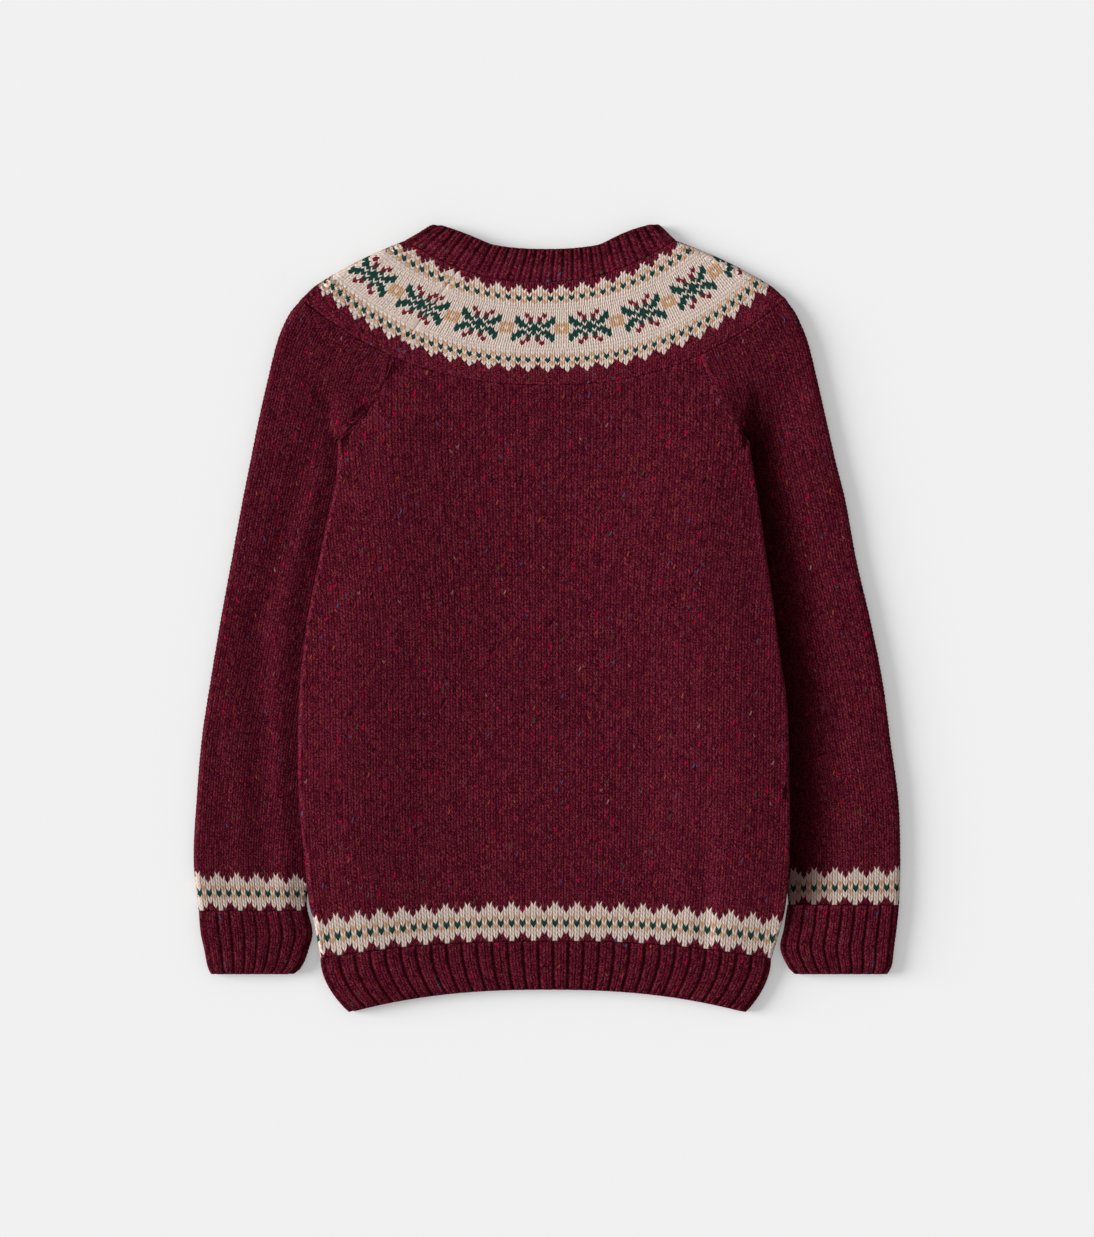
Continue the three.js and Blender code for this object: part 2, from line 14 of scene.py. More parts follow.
import bpy
import numpy as np
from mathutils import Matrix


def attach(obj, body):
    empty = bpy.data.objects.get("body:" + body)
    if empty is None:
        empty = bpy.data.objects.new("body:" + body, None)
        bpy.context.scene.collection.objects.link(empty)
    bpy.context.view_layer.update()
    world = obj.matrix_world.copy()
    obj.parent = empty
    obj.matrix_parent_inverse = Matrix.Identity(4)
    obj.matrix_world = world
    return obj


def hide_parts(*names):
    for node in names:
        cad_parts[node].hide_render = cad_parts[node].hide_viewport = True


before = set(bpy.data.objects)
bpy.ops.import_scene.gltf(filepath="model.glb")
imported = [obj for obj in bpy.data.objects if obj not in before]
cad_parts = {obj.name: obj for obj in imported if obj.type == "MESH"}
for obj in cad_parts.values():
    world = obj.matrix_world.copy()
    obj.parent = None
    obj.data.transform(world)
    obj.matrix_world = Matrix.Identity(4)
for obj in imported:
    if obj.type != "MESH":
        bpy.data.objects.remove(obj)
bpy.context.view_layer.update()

LOG = logging.getLogger("jumper")
Array = np.ndarray
MM = 0.001
PHOTO_SIZE = (1094, 1237)
PHOTO_MM_PER_PIXEL = 0.70


class Face(Enum):
    """Which of the two layers of the jumper that lie on each other."""

    BACK = 1
    FRONT = -1


class Yarn(Enum):
    """The yarns of the jumper, in the order of their colours in the palette."""

    WINE = 0
    OATMEAL = 1
    GOLD = 2
    GREEN = 3
    BERRY = 4


LETTERS = {"w": Yarn.WINE, "c": Yarn.OATMEAL, "o": Yarn.GOLD, "g": Yarn.GREEN, "t": Yarn.BERRY}


def chart(*lines: str) -> Array:
    """Turns rows of letters, one letter a stitch, into yarn numbers."""
    return np.array([[LETTERS[letter].value for letter in line] for line in lines])


# The band over the hem and over the cuffs, from its lowest course up, four stitches wide
BAND_CHART = chart("cwww", "ccwc", "cccc", "coco", "gcgc", "coco", "cccc", "ccwc", "cwww")
# The border of the yoke from its plain side out to its points, and half a star from its middle course
BORDER_CHART = chart("coco", "gcgc", "coco", "ccwc", "cwww")
STAR_CHART = chart("ggcccoc", "gcggcoo", "cgcggcc", "ctccgcc", "cctcccc")


def ease(value: Array, low: Array | float, high: Array | float) -> Array:
    """Goes from 0 at low to 1 at high, level at both: 3 s squared less 2 s cubed."""
    share = np.clip((value - low) / (high - low), 0, 1)
    return share * share * (3 - 2 * share)


def between(start: Array | float, end: Array | float, share: Array | float) -> Array:
    """The value at a share of the way from start to end."""
    return start + (end - start) * share


def bell(value: Array, width: float) -> Array:
    """Goes from 1 at 0 down to nothing past about twice the width: e to less the square."""
    return np.exp(-((value / width) ** 2))


def round_along(x: Array, y: Array) -> float:
    """The length of a line through points."""
    return float(np.hypot(np.diff(x), np.diff(y)).sum())


def band_yarns(wale: Array, course: Array, first: int) -> Array:
    """Yarn numbers of the band over a rib, whose pattern starts at a wale, and wine above it."""
    row = np.floor(course).astype(int)
    column = (np.floor(wale).astype(int) - first) % BAND_CHART.shape[1]
    band = BAND_CHART[np.minimum(row, len(BAND_CHART) - 1), column]
    return np.where(row < len(BAND_CHART), band, Yarn.WINE.value)


def area_under(heights: Array, places: Array) -> float:
    """The area under a line through points: each step's mean height by its length."""
    return float(((heights[1:] + heights[:-1]) / 2 * np.diff(places)).sum())


@dataclass(frozen=True)
class Curve:
    """A smooth curve through rows of a place and a value."""

    rows: tuple[tuple[float, float], ...]

    def at(self, place: Array | float) -> Array:
        """Reads the curve, which is level beyond its ends.

        A cubic runs from row to row, and its slope at a row is that between the row's neighbours.

        Args:
            place: Where to read it.

        Returns:
            The value at each place.
        """
        keys, values = np.array(self.rows, dtype=float).T
        number = np.arange(len(keys))
        before, after = np.maximum(number - 1, 0), np.minimum(number + 1, len(keys) - 1)
        slopes = (values[after] - values[before]) / (keys[after] - keys[before])
        inside = np.clip(place, keys[0], keys[-1])
        index = np.clip(np.searchsorted(keys, inside, side="right") - 1, 0, len(keys) - 2)
        span = keys[index + 1] - keys[index]
        share = (inside - keys[index]) / span
        start, end = values[index], values[index + 1]
        bend = (1 - share) * slopes[index] * span - share * slopes[index + 1] * span
        bend = bend + (2 * share - 1) * (end - start)
        return start + (end - start) * share + share * (1 - share) * bend


@dataclass(frozen=True)
class Side:
    """Sizes of the jumper on one side of its middle line."""

    sign: int
    armpit_x: float
    raglan_x: float
    raglan_y: float
    raglan_bend: float
    shoulder_x: float
    neck_seam_x: float
    neck_edge_x: float
    hem_seam_x: float
    hem_edge_x: float
    cuff_seam_y: float
    cuff_edge_y: float
    shelf_y: float
    shelf_lean: float
    dip_start: float
    dip_width: float
    body: Curve
    tuck: Curve
    sleeve: Curve
    cuff_outer: Curve
    cuff_inner: Curve

    def tucked(self, y: Array) -> Array:
        """Distance from the middle line of the sleeve's edge under the body: the body's less the tuck."""
        return self.body.at(y) - self.tuck.at(y)

    def raglan(self, share: Array) -> tuple[Array, Array]:
        """A place on the raglan line, from the armpit (0) to the yoke (1).

        Its distance from the middle line falls from the armpit's to the yoke's as the rest of the way
        to a power, and its height grows evenly.
        """
        reach = self.raglan_x + (self.armpit_x - self.raglan_x) * (1 - share) ** self.raglan_bend
        return reach, between(ARMPIT_Y, self.raglan_y, share)


ARMPIT_Y = 123.6
SHOULDER_Y = 225.1
SHOULDER_ROUND = 2.4
SHOULDER_WIDTH = 9
HEM_MIDDLE_Y = -226.5
HEM_DROP = 12.5
HEM_BEND = 2.35
RAGLAN_DIP_WIDTH = 1.8
YOKE_DIP_WIDTH = 2.2
COURSE_HEIGHT = 3
RIB_COURSE_HEIGHT = 2.6
RIB_EDGE_WIDTH = 1.6
FAR = 99
TUCK = Curve((
    (-240, 0), (-214, -2), (-200, -2), (-165, 7), (-130, 16), (-90, 24), (-58, 30),
    (-24, 35), (13, 38), (46, 37), (76, 30), (95, 20), (123.6, -0.5),
))
LEFT = Side(
    sign=-1, armpit_x=146.3, raglan_x=110, raglan_y=183.8, raglan_bend=1.9, shoulder_x=174.3,
    neck_seam_x=99.4, neck_edge_x=80, hem_seam_x=158.9, hem_edge_x=139,
    cuff_seam_y=-205.5, cuff_edge_y=-250, shelf_y=168, shelf_lean=5.5, dip_start=0, dip_width=18,
    body=Curve((
        (-240, 158.9), (-214, 163.1), (-200, 166.6), (-165, 170.1), (-130, 173.6), (-90, 174.3),
        (-58, 173.6), (-24, 170.8), (13, 165.2), (46, 158.2), (76, 151.9), (95, 147.7), (123.6, 146.3),
    )),
    tuck=TUCK,
    sleeve=Curve((
        (-205.5, 244.3), (-170, 247.8), (-128, 245.7), (-86, 242.2), (-44, 235.9), (-2, 228.9), (40, 221.2),
        (82, 213.5), (110, 207.9), (138, 202.3), (166, 196), (194, 189), (208, 183.4), (225.1, 174.3),
    )),
    cuff_outer=Curve(((0, 244.3), (0.35, 242.9), (0.62, 240.4), (0.87, 238.2), (1, 236))),
    cuff_inner=Curve(((0, 168.2), (0.35, 164.8), (0.62, 167.6), (0.87, 172), (1, 177.4))),
)
RIGHT = Side(
    sign=1, armpit_x=141.4, raglan_x=107.5, raglan_y=184, raglan_bend=1.35, shoulder_x=169.4,
    neck_seam_x=90.3, neck_edge_x=78.5, hem_seam_x=157.2, hem_edge_x=139.5,
    cuff_seam_y=-201.5, cuff_edge_y=-250, shelf_y=174, shelf_lean=5, dip_start=12, dip_width=46,
    body=Curve((
        (-240, 157.2), (-214, 164.5), (-200, 167.3), (-165, 170.1), (-130, 170.1), (-90, 169.4),
        (-58, 168), (-24, 163.1), (13, 158.2), (46, 153.3), (76, 149.1), (95, 146), (123.6, 141.4),
    )),
    tuck=TUCK,
    sleeve=Curve((
        (-205.5, 246.9), (-170, 247.8), (-128, 246.4), (-86, 240.8), (-44, 235.2), (-2, 226.8), (40, 217),
        (82, 209.3), (110, 202.3), (138, 196), (166, 189.7), (194, 182.7), (208, 177.1), (225.1, 169.4),
    )),
    cuff_outer=Curve(((0, 246.8), (0.35, 245), (0.62, 243.3), (0.87, 241.8), (1, 239))),
    cuff_inner=Curve(((0, 168.8), (0.35, 166.3), (0.62, 163.8), (0.87, 168.5), (1, 173.4))),
)


@dataclass(frozen=True)
class Fold:
    """A soft trough along a line up the garment. A negative depth makes a ridge."""

    x: float
    slope: float
    start_y: float
    end_y: float
    width: float
    depth: float

    def at(self, x: Array, y: Array) -> Array:
        """Depth at a place: a bell across the line, eased in and out near its two heights."""
        middle = x - self.x - self.slope * (y - self.start_y)
        begun = ease(y, self.start_y - 25, self.start_y + 10)
        ended = ease(y, self.end_y - 25, self.end_y + 25)
        return self.depth * begun * (1 - ended) * bell(middle, self.width)


@dataclass(frozen=True)
class Lie:
    """How the jumper lies: the wall, the spaces between layers, and what rests on what."""

    wall: float = 2.6
    seam: float = 0.3
    body_space: float = 3.2
    sleeve_space: float = 3.2
    cuff_end_space: float = 1.8
    edge_space: float = 1.0
    tube_low: float = 5.6
    lift: float = 6.1
    lift_margin: float = 5
    lift_ramp: float = 40
    top_ramp: float = 105
    middle_rise: float = 1.4
    lift_above_armpit: float = 34
    lift_fade: tuple[float, float] = (-262, -192)
    dip_fade: tuple[float, float] = (0.45, 1.1)
    shelf_step: float = 11
    shelf_start: float = 10
    front_raglan: float = 0.8
    yoke_seam_back: float = 162.8
    yoke_seam_front: float = 148.8
    folds: tuple[Fold, ...] = (
        Fold(-198, -0.02, -175, 0, 12, 2.5), Fold(-200, 0.3, 0, 135, 10, 1.9),
        Fold(-222, -0.1, -190, -60, 8, 0.6), Fold(110.6, 0, -232, -140, 7, 1.1),
        Fold(70, 0.02, -165, -20, 16, 0.8), Fold(-84, -0.03, -150, 20, 14, 0.4),
        Fold(212, -0.09, -150, 60, 12, 0.5),
    )

    @property
    def edge_radius(self) -> float:
        """Radius of the body's side folds: a wall and half the space at the edge."""
        return self.wall + self.edge_space / 2

    def body_lift(self, x: Array, y: Array, ramp: float | None = None) -> Array:
        """Height of the body's underside: on the surface, or over a tucked sleeve near its edges."""
        ramp = self.lift_ramp if ramp is None else ramp
        height = np.zeros(np.broadcast(x, y).shape)
        for side in (LEFT, RIGHT):
            share = (y - ARMPIT_Y) / (side.raglan_y - ARMPIT_Y)
            reach = np.where(y > ARMPIT_Y, side.raglan(np.clip(share, 0, 1))[0], side.tucked(y))
            full = reach - self.lift_margin
            here = ease(np.abs(x), full - ramp, full)
            height = np.where(np.sign(x) == side.sign, here, height)
        above = 1 - ease(y, ARMPIT_Y, ARMPIT_Y + self.lift_above_armpit)
        return self.lift * height * above * ease(y, *self.lift_fade)

    def fold_depth(self, x: Array, y: Array) -> Array:
        """Depth of all the soft folds at a place."""
        return sum(fold.at(x, y) for fold in self.folds)

    def body_top(self, x: Array, y: Array) -> Array:
        """Height of the back at a place: its lift, two walls and the space in it, less the folds.

        The back rises to its lifted sides over a broader way than the front under it.
        """
        low = np.minimum(y, ARMPIT_Y)
        half = np.where(x < 0, LEFT.body.at(low), RIGHT.body.at(low))
        above = ease(y, ARMPIT_Y, ARMPIT_Y + self.lift_above_armpit)
        inner = np.maximum(ease(half - np.abs(x), 0, self.lift_ramp), above)
        space = between(self.edge_space, self.body_space, inner)
        lift = self.body_lift(x, y, self.top_ramp)
        settled = (1 - above) * ease(y, *self.lift_fade)
        lift = lift + self.middle_rise * (settled - lift / self.lift)
        return lift + 2 * self.wall + space - self.fold_depth(x, y)

    def sleeve_top(self, side: Side, x: Array, y: Array) -> Array:
        """Height of a sleeve: low under the body's edge, dipped beside it, and full further out."""
        climb = np.maximum(y - ARMPIT_Y, 0) / (side.shelf_y - ARMPIT_Y)
        edge = side.body.at(np.minimum(y, ARMPIT_Y)) + side.shelf_lean * climb
        out = np.abs(x) - edge
        full = 2 * self.wall + self.sleeve_space
        filled = np.maximum(ease(out, side.dip_start, side.dip_width), ease(climb, *self.dip_fade))
        dipped = between(self.tube_low, full, filled) - self.fold_depth(x, y) * filled
        step = ease(-out, -self.shelf_step / 2, self.shelf_step / 2)
        shelf = step * ease(y, ARMPIT_Y, ARMPIT_Y + self.shelf_start)
        return between(dipped, self.body_top(x, y), shelf)

    def yoke_seam(self, face: Face, x: Array) -> Array:
        """Height up the garment of the seam under the yoke: it rises from the middle as a power of the
        distance from the middle line, so that it meets the raglan line and the shoulder corner."""
        low = self.yoke_seam_back if face is Face.BACK else self.yoke_seam_front
        rise = SHOULDER_Y - low
        height = np.zeros(np.shape(x))
        for side in (LEFT, RIGHT):
            share = 1.0 if face is Face.BACK else self.front_raglan
            corner_x, corner_y = side.raglan(share)
            bend = math.log((corner_y - low) / rise) / math.log(corner_x / side.shoulder_x)
            here = low + rise * np.minimum(np.abs(x) / side.shoulder_x, 1) ** bend
            height = np.where((np.sign(x) == side.sign) | (x == 0), here, height)
        return height


LIE = Lie()


def soften_shoulders(points: Array) -> Array:
    """Rounds the corner at each shoulder: moves it inwards by a bell about it."""
    moved = points.copy()
    for side in (LEFT, RIGHT):
        away = np.hypot(points[..., 0] - side.sign * side.shoulder_x, points[..., 1] - SHOULDER_Y)
        inward = SHOULDER_ROUND * bell(away, SHOULDER_WIDTH)
        moved[..., 0] -= side.sign * 0.8 * inward
        moved[..., 1] -= 0.6 * inward
    return moved


@dataclass(frozen=True)
class Stitch:
    """The relief of one knit stitch, whose two legs make a V with its point down.

    Attributes:
        rise: Height of a leg over the groove between two wales.
        lean: Courses that a leg climbs from the middle of its wale to the side.
        middle: Height of the middle of a wale, as a share of rise.
        tuck: How much lower a leg is at its ends, as a share of its height.
        uneven: How much one leg's height differs from another's, as a share.
        groove: Share of the colour left in the groove between two wales: painted shade, with the darker gap
            between the yarns.
    """

    rise: float = 0.65
    lean: float = 1.05
    middle: float = 0.1
    tuck: float = 0.5
    uneven: float = 0.15
    groove: float = 0.27

    def side_share(self, wale: Array) -> Array:
        """How far a place is from the middle of its wale: 0 there, and 1 between two wales."""
        return np.abs(2 * (wale - np.floor(wale)) - 1)

    def height(self, wale: Array, course: Array) -> Array:
        """Height over the groove: a rounded leg across, swelling between its ends, each a bit its own.

        Args:
            wale: Stitches across.
            course: Stitches up.

        Returns:
            The height as a share of rise.
        """
        share = self.side_share(wale)
        leg = 1 - np.abs(2 * share - 1) ** 2.4
        across = leg + (1 - leg) * np.where(share < 0.5, self.middle, 0)
        along = 1 - self.tuck * (1 + np.cos(2 * np.pi * course)) / 2
        leg_number = np.floor(2 * wale).astype(int) % UNEVEN.shape[0]
        number = leg_number, np.floor(course).astype(int) % UNEVEN.shape[1]
        return across * along * (1 + self.uneven * UNEVEN[number])


UNEVEN = np.random.default_rng(7).uniform(-1, 1, (331, 317))


@dataclass
class KnitGrid:
    """The outer face of a piece of knitted cloth, on a grid of points.

    Attributes:
        points: Places, in rows up the piece, as an array of rows, columns and three numbers.
        wale: Stitches across at each point, with one more column on a ring.
        course: Stitches up at each point.
        relief: Height that the outer face stands over the points.
        depth: Painted shade at each point, as the share of its colour left: from 0 in a groove to 1 on a
            leg, and less where a piece paints a shadow into a hollow.
        yarn: Yarn number of each cell.
        kept: The column whose place each point takes. Past a cut edge, that is the edge's own.
        ring: Whether the last column meets the first.
        step: Rows and columns of the outer face for each of the plain inner face.
    """

    points: Array
    wale: Array
    course: Array
    relief: Array
    depth: Array
    yarn: Array
    kept: Array
    ring: bool
    step: tuple[int, int] = (8, 8)
    wall: float = LIE.wall

    def normals(self) -> Array:
        """Directions out of the cloth: across the columns by up the rows, of length one."""
        if self.ring:
            across = np.roll(self.points, -1, axis=1) - np.roll(self.points, 1, axis=1)
        else:
            across = np.gradient(self.points, axis=1)
        out = np.cross(across, np.gradient(self.points, axis=0))
        return out / np.maximum(np.linalg.norm(out, axis=2, keepdims=True), 1e-9)


# Painted shade on the hidden inner faces: nearly all of the colour is taken away, so that a gap between
# pieces shows as a shadow.
INSIDE_OPEN = 0.1
# Painted shade on walls that stand upright or face down: the share of the colour left there.
SIDE_OPEN = 0.4
# Painted shade at a cut edge, where the grooves aren't drawn: a middling share of the colour left.
CUT_OPEN = 0.62


def rim_faces(outer: Array, inner: Array, anchors: Array) -> Array:
    """Triangles between a chain of outer points and a sparser chain of inner ones.

    Each outer edge is joined to the inner point at or before it, and each inner edge to the outer
    point at its end.

    Args:
        outer: Point numbers of the outer chain.
        inner: Point numbers of the inner chain.
        anchors: Place in the outer chain of each inner point.

    Returns:
        Rows of three point numbers.
    """
    foot = np.searchsorted(anchors, np.arange(len(outer) - 1), side="right") - 1
    fans = np.stack([inner[foot], outer[1:], outer[:-1]], axis=1)
    bridges = np.stack([inner[:-1], inner[1:], outer[anchors[1:]]], axis=1)
    return np.concatenate([fans, bridges])


def cell_faces(index: Array) -> Array:
    """Two triangles for each cell of a grid of numbers, cell by cell."""
    low_left, low_right = index[:-1, :-1], index[:-1, 1:]
    high_left, high_right = index[1:, :-1], index[1:, 1:]
    first = np.stack([low_left, low_right, high_right], axis=2)
    second = np.stack([low_left, high_right, high_left], axis=2)
    return np.stack([first, second], axis=2).reshape(-1, 3)


def closed_mesh(name: str, grid: KnitGrid, palette: Array) -> bpy.types.Mesh:
    """Makes a closed wall of cloth from its outer face.

    The inner face lies one wall under the points, along the normals, and rims join the two. Points
    that share a place share a number, and triangles that shrink to a line are left out.

    Args:
        name: The mesh's name.
        grid: The outer face.
        palette: Colour of each yarn.

    Returns:
        The mesh, with its stitches as a UV map, its yarn as a colour and its painted shade as a number named
        depth.
    """
    out = grid.normals()
    height, width = grid.points.shape[:2]
    outer = grid.points + out * grid.relief[..., None]
    rows = np.unique(np.append(np.arange(0, height - 1, grid.step[0]), height - 1))
    columns = np.arange(0, width, grid.step[1])
    if not grid.ring:
        columns = np.unique(np.append(columns, width - 1))
    sparse = grid.kept[rows][:, columns]
    inner = (grid.points - out * grid.wall)[rows[:, None], sparse]
    outer[..., 2] = np.maximum(outer[..., 2], 0)
    inner[..., 2] = np.maximum(inner[..., 2], LIE.seam)
    fresh = np.pad(sparse[:, 1:] != sparse[:, :-1], ((0, 0), (1, 0)), constant_values=True)
    shared = np.maximum.accumulate(np.where(fresh, np.arange(columns.size), 0), axis=1)
    outer_number = np.arange(height)[:, None] * width + grid.kept
    inner_number = height * width + np.arange(rows.size)[:, None] * columns.size + shared
    anchors = columns
    if grid.ring:
        outer_number = np.concatenate([outer_number, outer_number[:, :1]], axis=1)
        inner_number = np.concatenate([inner_number, inner_number[:, :1]], axis=1)
        anchors = np.append(columns, width)

    outer_index = np.arange(outer_number.size).reshape(outer_number.shape)
    inner_index = outer_number.size + np.arange(inner_number.size).reshape(inner_number.shape)
    hidden = [
        cell_faces(inner_index)[:, ::-1],
        rim_faces(outer_index[0], inner_index[0], anchors),
        rim_faces(outer_index[-1], inner_index[-1], anchors)[:, ::-1],
    ]
    if not grid.ring:
        hidden.append(rim_faces(outer_index[:, 0], inner_index[:, 0], rows)[:, ::-1])
        hidden.append(rim_faces(outer_index[:, -1], inner_index[:, -1], rows))
    hidden = np.concatenate(hidden)
    corners = np.concatenate([cell_faces(outer_index), hidden])
    numbers = np.concatenate([outer_number.ravel(), inner_number.ravel()])[corners]
    real = (numbers != np.roll(numbers, 1, axis=1)).all(axis=1)

    course = np.pad(grid.course, ((0, 0), (0, int(grid.ring))), mode="edge")
    stitches = np.stack([grid.wale, course], axis=2)
    stitches = np.concatenate([stitches.reshape(-1, 2), stitches[rows][:, anchors].reshape(-1, 2)])
    cell_rows = np.minimum(np.arange(height), height - 2)
    cell_columns = np.minimum(np.arange(outer_number.shape[1]), grid.yarn.shape[1] - 1)
    point_yarn = grid.yarn[cell_rows[:, None], cell_columns]
    point_yarn = np.concatenate([point_yarn.ravel(), point_yarn[rows][:, anchors].ravel()])
    yarn = np.concatenate([np.repeat(grid.yarn.ravel(), 2), point_yarn[hidden[:, 0]]])[real]

    used, vertices = np.unique(numbers[real].ravel(), return_inverse=True)
    points = np.concatenate([outer.reshape(-1, 3), inner.reshape(-1, 3)])[used] * MM
    # Painted shade by facing: the colour darkens as a face turns from up to sideways or down.
    level = between(SIDE_OPEN, 1, np.clip(out[..., 2], 0, 1))
    openness = np.concatenate([(grid.depth * level).ravel(), np.full(inner[..., 0].size, INSIDE_OPEN)])[used]
    mesh = bpy.data.meshes.new(name)
    mesh.vertices.add(len(points))
    mesh.vertices.foreach_set("co", points.ravel())
    mesh.loops.add(vertices.size)
    mesh.loops.foreach_set("vertex_index", vertices.ravel().astype(np.int32))
    mesh.polygons.add(vertices.size // 3)
    mesh.polygons.foreach_set("loop_start", np.arange(0, vertices.size, 3, dtype=np.int32))
    mesh.update(calc_edges=True)
    mesh.polygons.foreach_set("use_smooth", np.ones(vertices.size // 3, dtype=bool))
    uv_map = mesh.uv_layers.new(name="stitch")
    uv_map.data.foreach_set("uv", stitches[corners[real]].astype(np.float32).ravel())
    colours = mesh.color_attributes.new(name="yarn", type="FLOAT_COLOR", domain="CORNER")
    colours.data.foreach_set("color", np.repeat(palette[yarn], 3, axis=0).astype(np.float32).ravel())
    # Painted shade of each point, as the share of its colour left, by which the material darkens the colour.
    depth = mesh.attributes.new(name="depth", type="FLOAT", domain="POINT")
    depth.data.foreach_set("value", openness.astype(np.float32))
    return mesh


@dataclass
class KnitPiece(ABC):
    """A piece of the jumper: its place, its stitches and its yarns.

    Attributes:
        node: The solid that it stands for.
        slot: A material slot's name, which is not used.
        courses: Stitches up the piece.
        per_course: Rows of the mesh for each course.
        stitch: The relief of its stitches.
    """

    node: str
    slot: str
    courses: int
    per_course: int = 2
    stitch: Stitch = field(default_factory=Stitch)
    ring: bool = False
    step: tuple[int, int] = (8, 8)

    @abstractmethod
    def place(self, course: Array) -> Array:
        """Places of the grid's points in mm, for the courses that they are on."""

    @abstractmethod
    def wales(self, course: Array, points: Array) -> Array:
        """Stitches across at each point, with one more column on a ring."""

    @abstractmethod
    def columns(self) -> int:
        """How many columns of points the grid has."""

    @abstractmethod
    def cut(self) -> tuple[float, float, float]:
        """Width, length and area of the flat cut, in metres and square metres."""

    def yarns(self, wale: Array, course: Array) -> Array:
        """Yarn number at each place. Plain wine unless a piece says otherwise."""
        return np.full(np.broadcast(wale, course).shape, Yarn.WINE.value)

    def relief(self, wale: Array, course: Array) -> tuple[Array, Array]:
        """Height over the points, and the share of the colour left under the painted shade of the grooves
        between the stitches.
        """
        height = self.stitch.height(wale, course)
        return self.stitch.rise * (height - 0.5), between(self.stitch.groove, 1, height)

    def kept(self, course: Array) -> Array:
        """The column whose place each point takes: its own, unless a piece is cut across its wales."""
        return np.broadcast_to(np.arange(course.shape[1]), course.shape)

    def shade(self, points: Array) -> Array:
        """Share of the colour left under painted shade at a place: all of it unless a piece paints a shadow
        into its hollows.
        """
        return np.ones(points.shape[:2])

    def lean_share(self, course: Array) -> Array:
        """How much of the stitches' lean shows: none along the piece's first and last course."""
        return ease(course, 0, 1) * ease(self.courses - course, 0, 1)

    def grid(self) -> KnitGrid:
        """Works out the outer face.

        Each row of points zigzags by the lean of the legs, so that a stitch's faces are its V. The
        dark pattern yarns are thick, and each stitch of them laps a row over the one below.

        Returns:
            The grid of points with its stitches.
        """
        rows = np.arange(self.courses * self.per_course + 1) / self.per_course
        course = np.repeat(rows[:, None], self.columns(), axis=1)
        points = self.place(course)
        wale = self.wales(course, points)
        points = points + self.leaning(points, wale[:, : self.columns()], course)
        relief, depth = self.relief(wale[:, : self.columns()], course)
        middle_wale = (wale[:-1, :-1] + wale[:-1, 1:] + wale[1:, :-1] + wale[1:, 1:]) / 4
        middle_course = (rows[:-1] + rows[1:])[:, None] / 2
        middle_course = np.broadcast_to(middle_course, middle_wale.shape)
        yarn = self.yarns(middle_wale, middle_course)
        above = self.yarns(middle_wale, middle_course + 1 / self.per_course)
        full = (above == Yarn.GREEN.value) | (above == Yarn.BERRY.value)
        yarn = np.where(full, above, yarn)
        off_edge = self.off_edge(wale[:, : self.columns()], 0.1, 0.6)
        relief = relief * off_edge
        # Painted shade: middling at cut edges, and times the piece's painted shadow in its hollows.
        depth = between(CUT_OPEN, depth, off_edge) * self.shade(points)
        return KnitGrid(points, wale, course, relief, depth, yarn, self.kept(course), self.ring, self.step)

    def leaning(self, points: Array, wale: Array, course: Array) -> Array:
        """How far each point moves up its wale, so that a stitch's faces are its V.

        A step up a wale is a step up the grid's column, less the part of it that leads across wales.
        By a cut edge it is only the step up the column, which stays on the cloth.

        Args:
            points: Places of the grid's points.
            wale: Stitches across.
            course: Stitches up.

        Returns:
            The moves.
        """
        up = np.gradient(points, axis=0) * self.per_course
        across = np.gradient(points, axis=1)
        wale_across = np.gradient(wale, axis=1)
        wale_up = np.gradient(wale, axis=0) * self.per_course
        steady = np.where(np.abs(wale_across) < 0.02, 0.02, wale_across)
        slide = np.clip(wale_up / steady, -6, 6) * self.off_edge(wale)
        share = self.stitch.lean * (self.stitch.side_share(wale) - 0.5) * self.lean_share(course)
        return (up - across * slide[..., None]) * share[..., None]

    def off_edge(self, wale: Array, low: float = 0.2, high: float = 1.2) -> Array:
        """0 at the piece's first and last wale and 1 further in. A ring has no such edge."""
        if self.ring:
            return np.ones(wale.shape)
        first, last = wale[:, :1], wale[:, -1:]
        return ease(np.minimum(np.abs(wale - first), np.abs(wale - last)), low, high)

    def build(self, wool: "Wool") -> bpy.types.Object:
        """Makes the piece's object and dresses it.

        Args:
            wool: The finish of every yarn.

        Returns:
            The object.
        """
        name = f"knit_{self.node}"
        piece = bpy.data.objects.new(name, closed_mesh(name, self.grid(), wool.palette()))
        bpy.context.scene.collection.objects.link(piece)
        piece.data.materials.append(wool.material())
        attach(piece, "root")
        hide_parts(self.node)
        width, length, area = self.cut()
        LOG.info("%s: %d faces, cut %.3f by %.3f m", name, len(piece.data.polygons), width, length)
        return piece


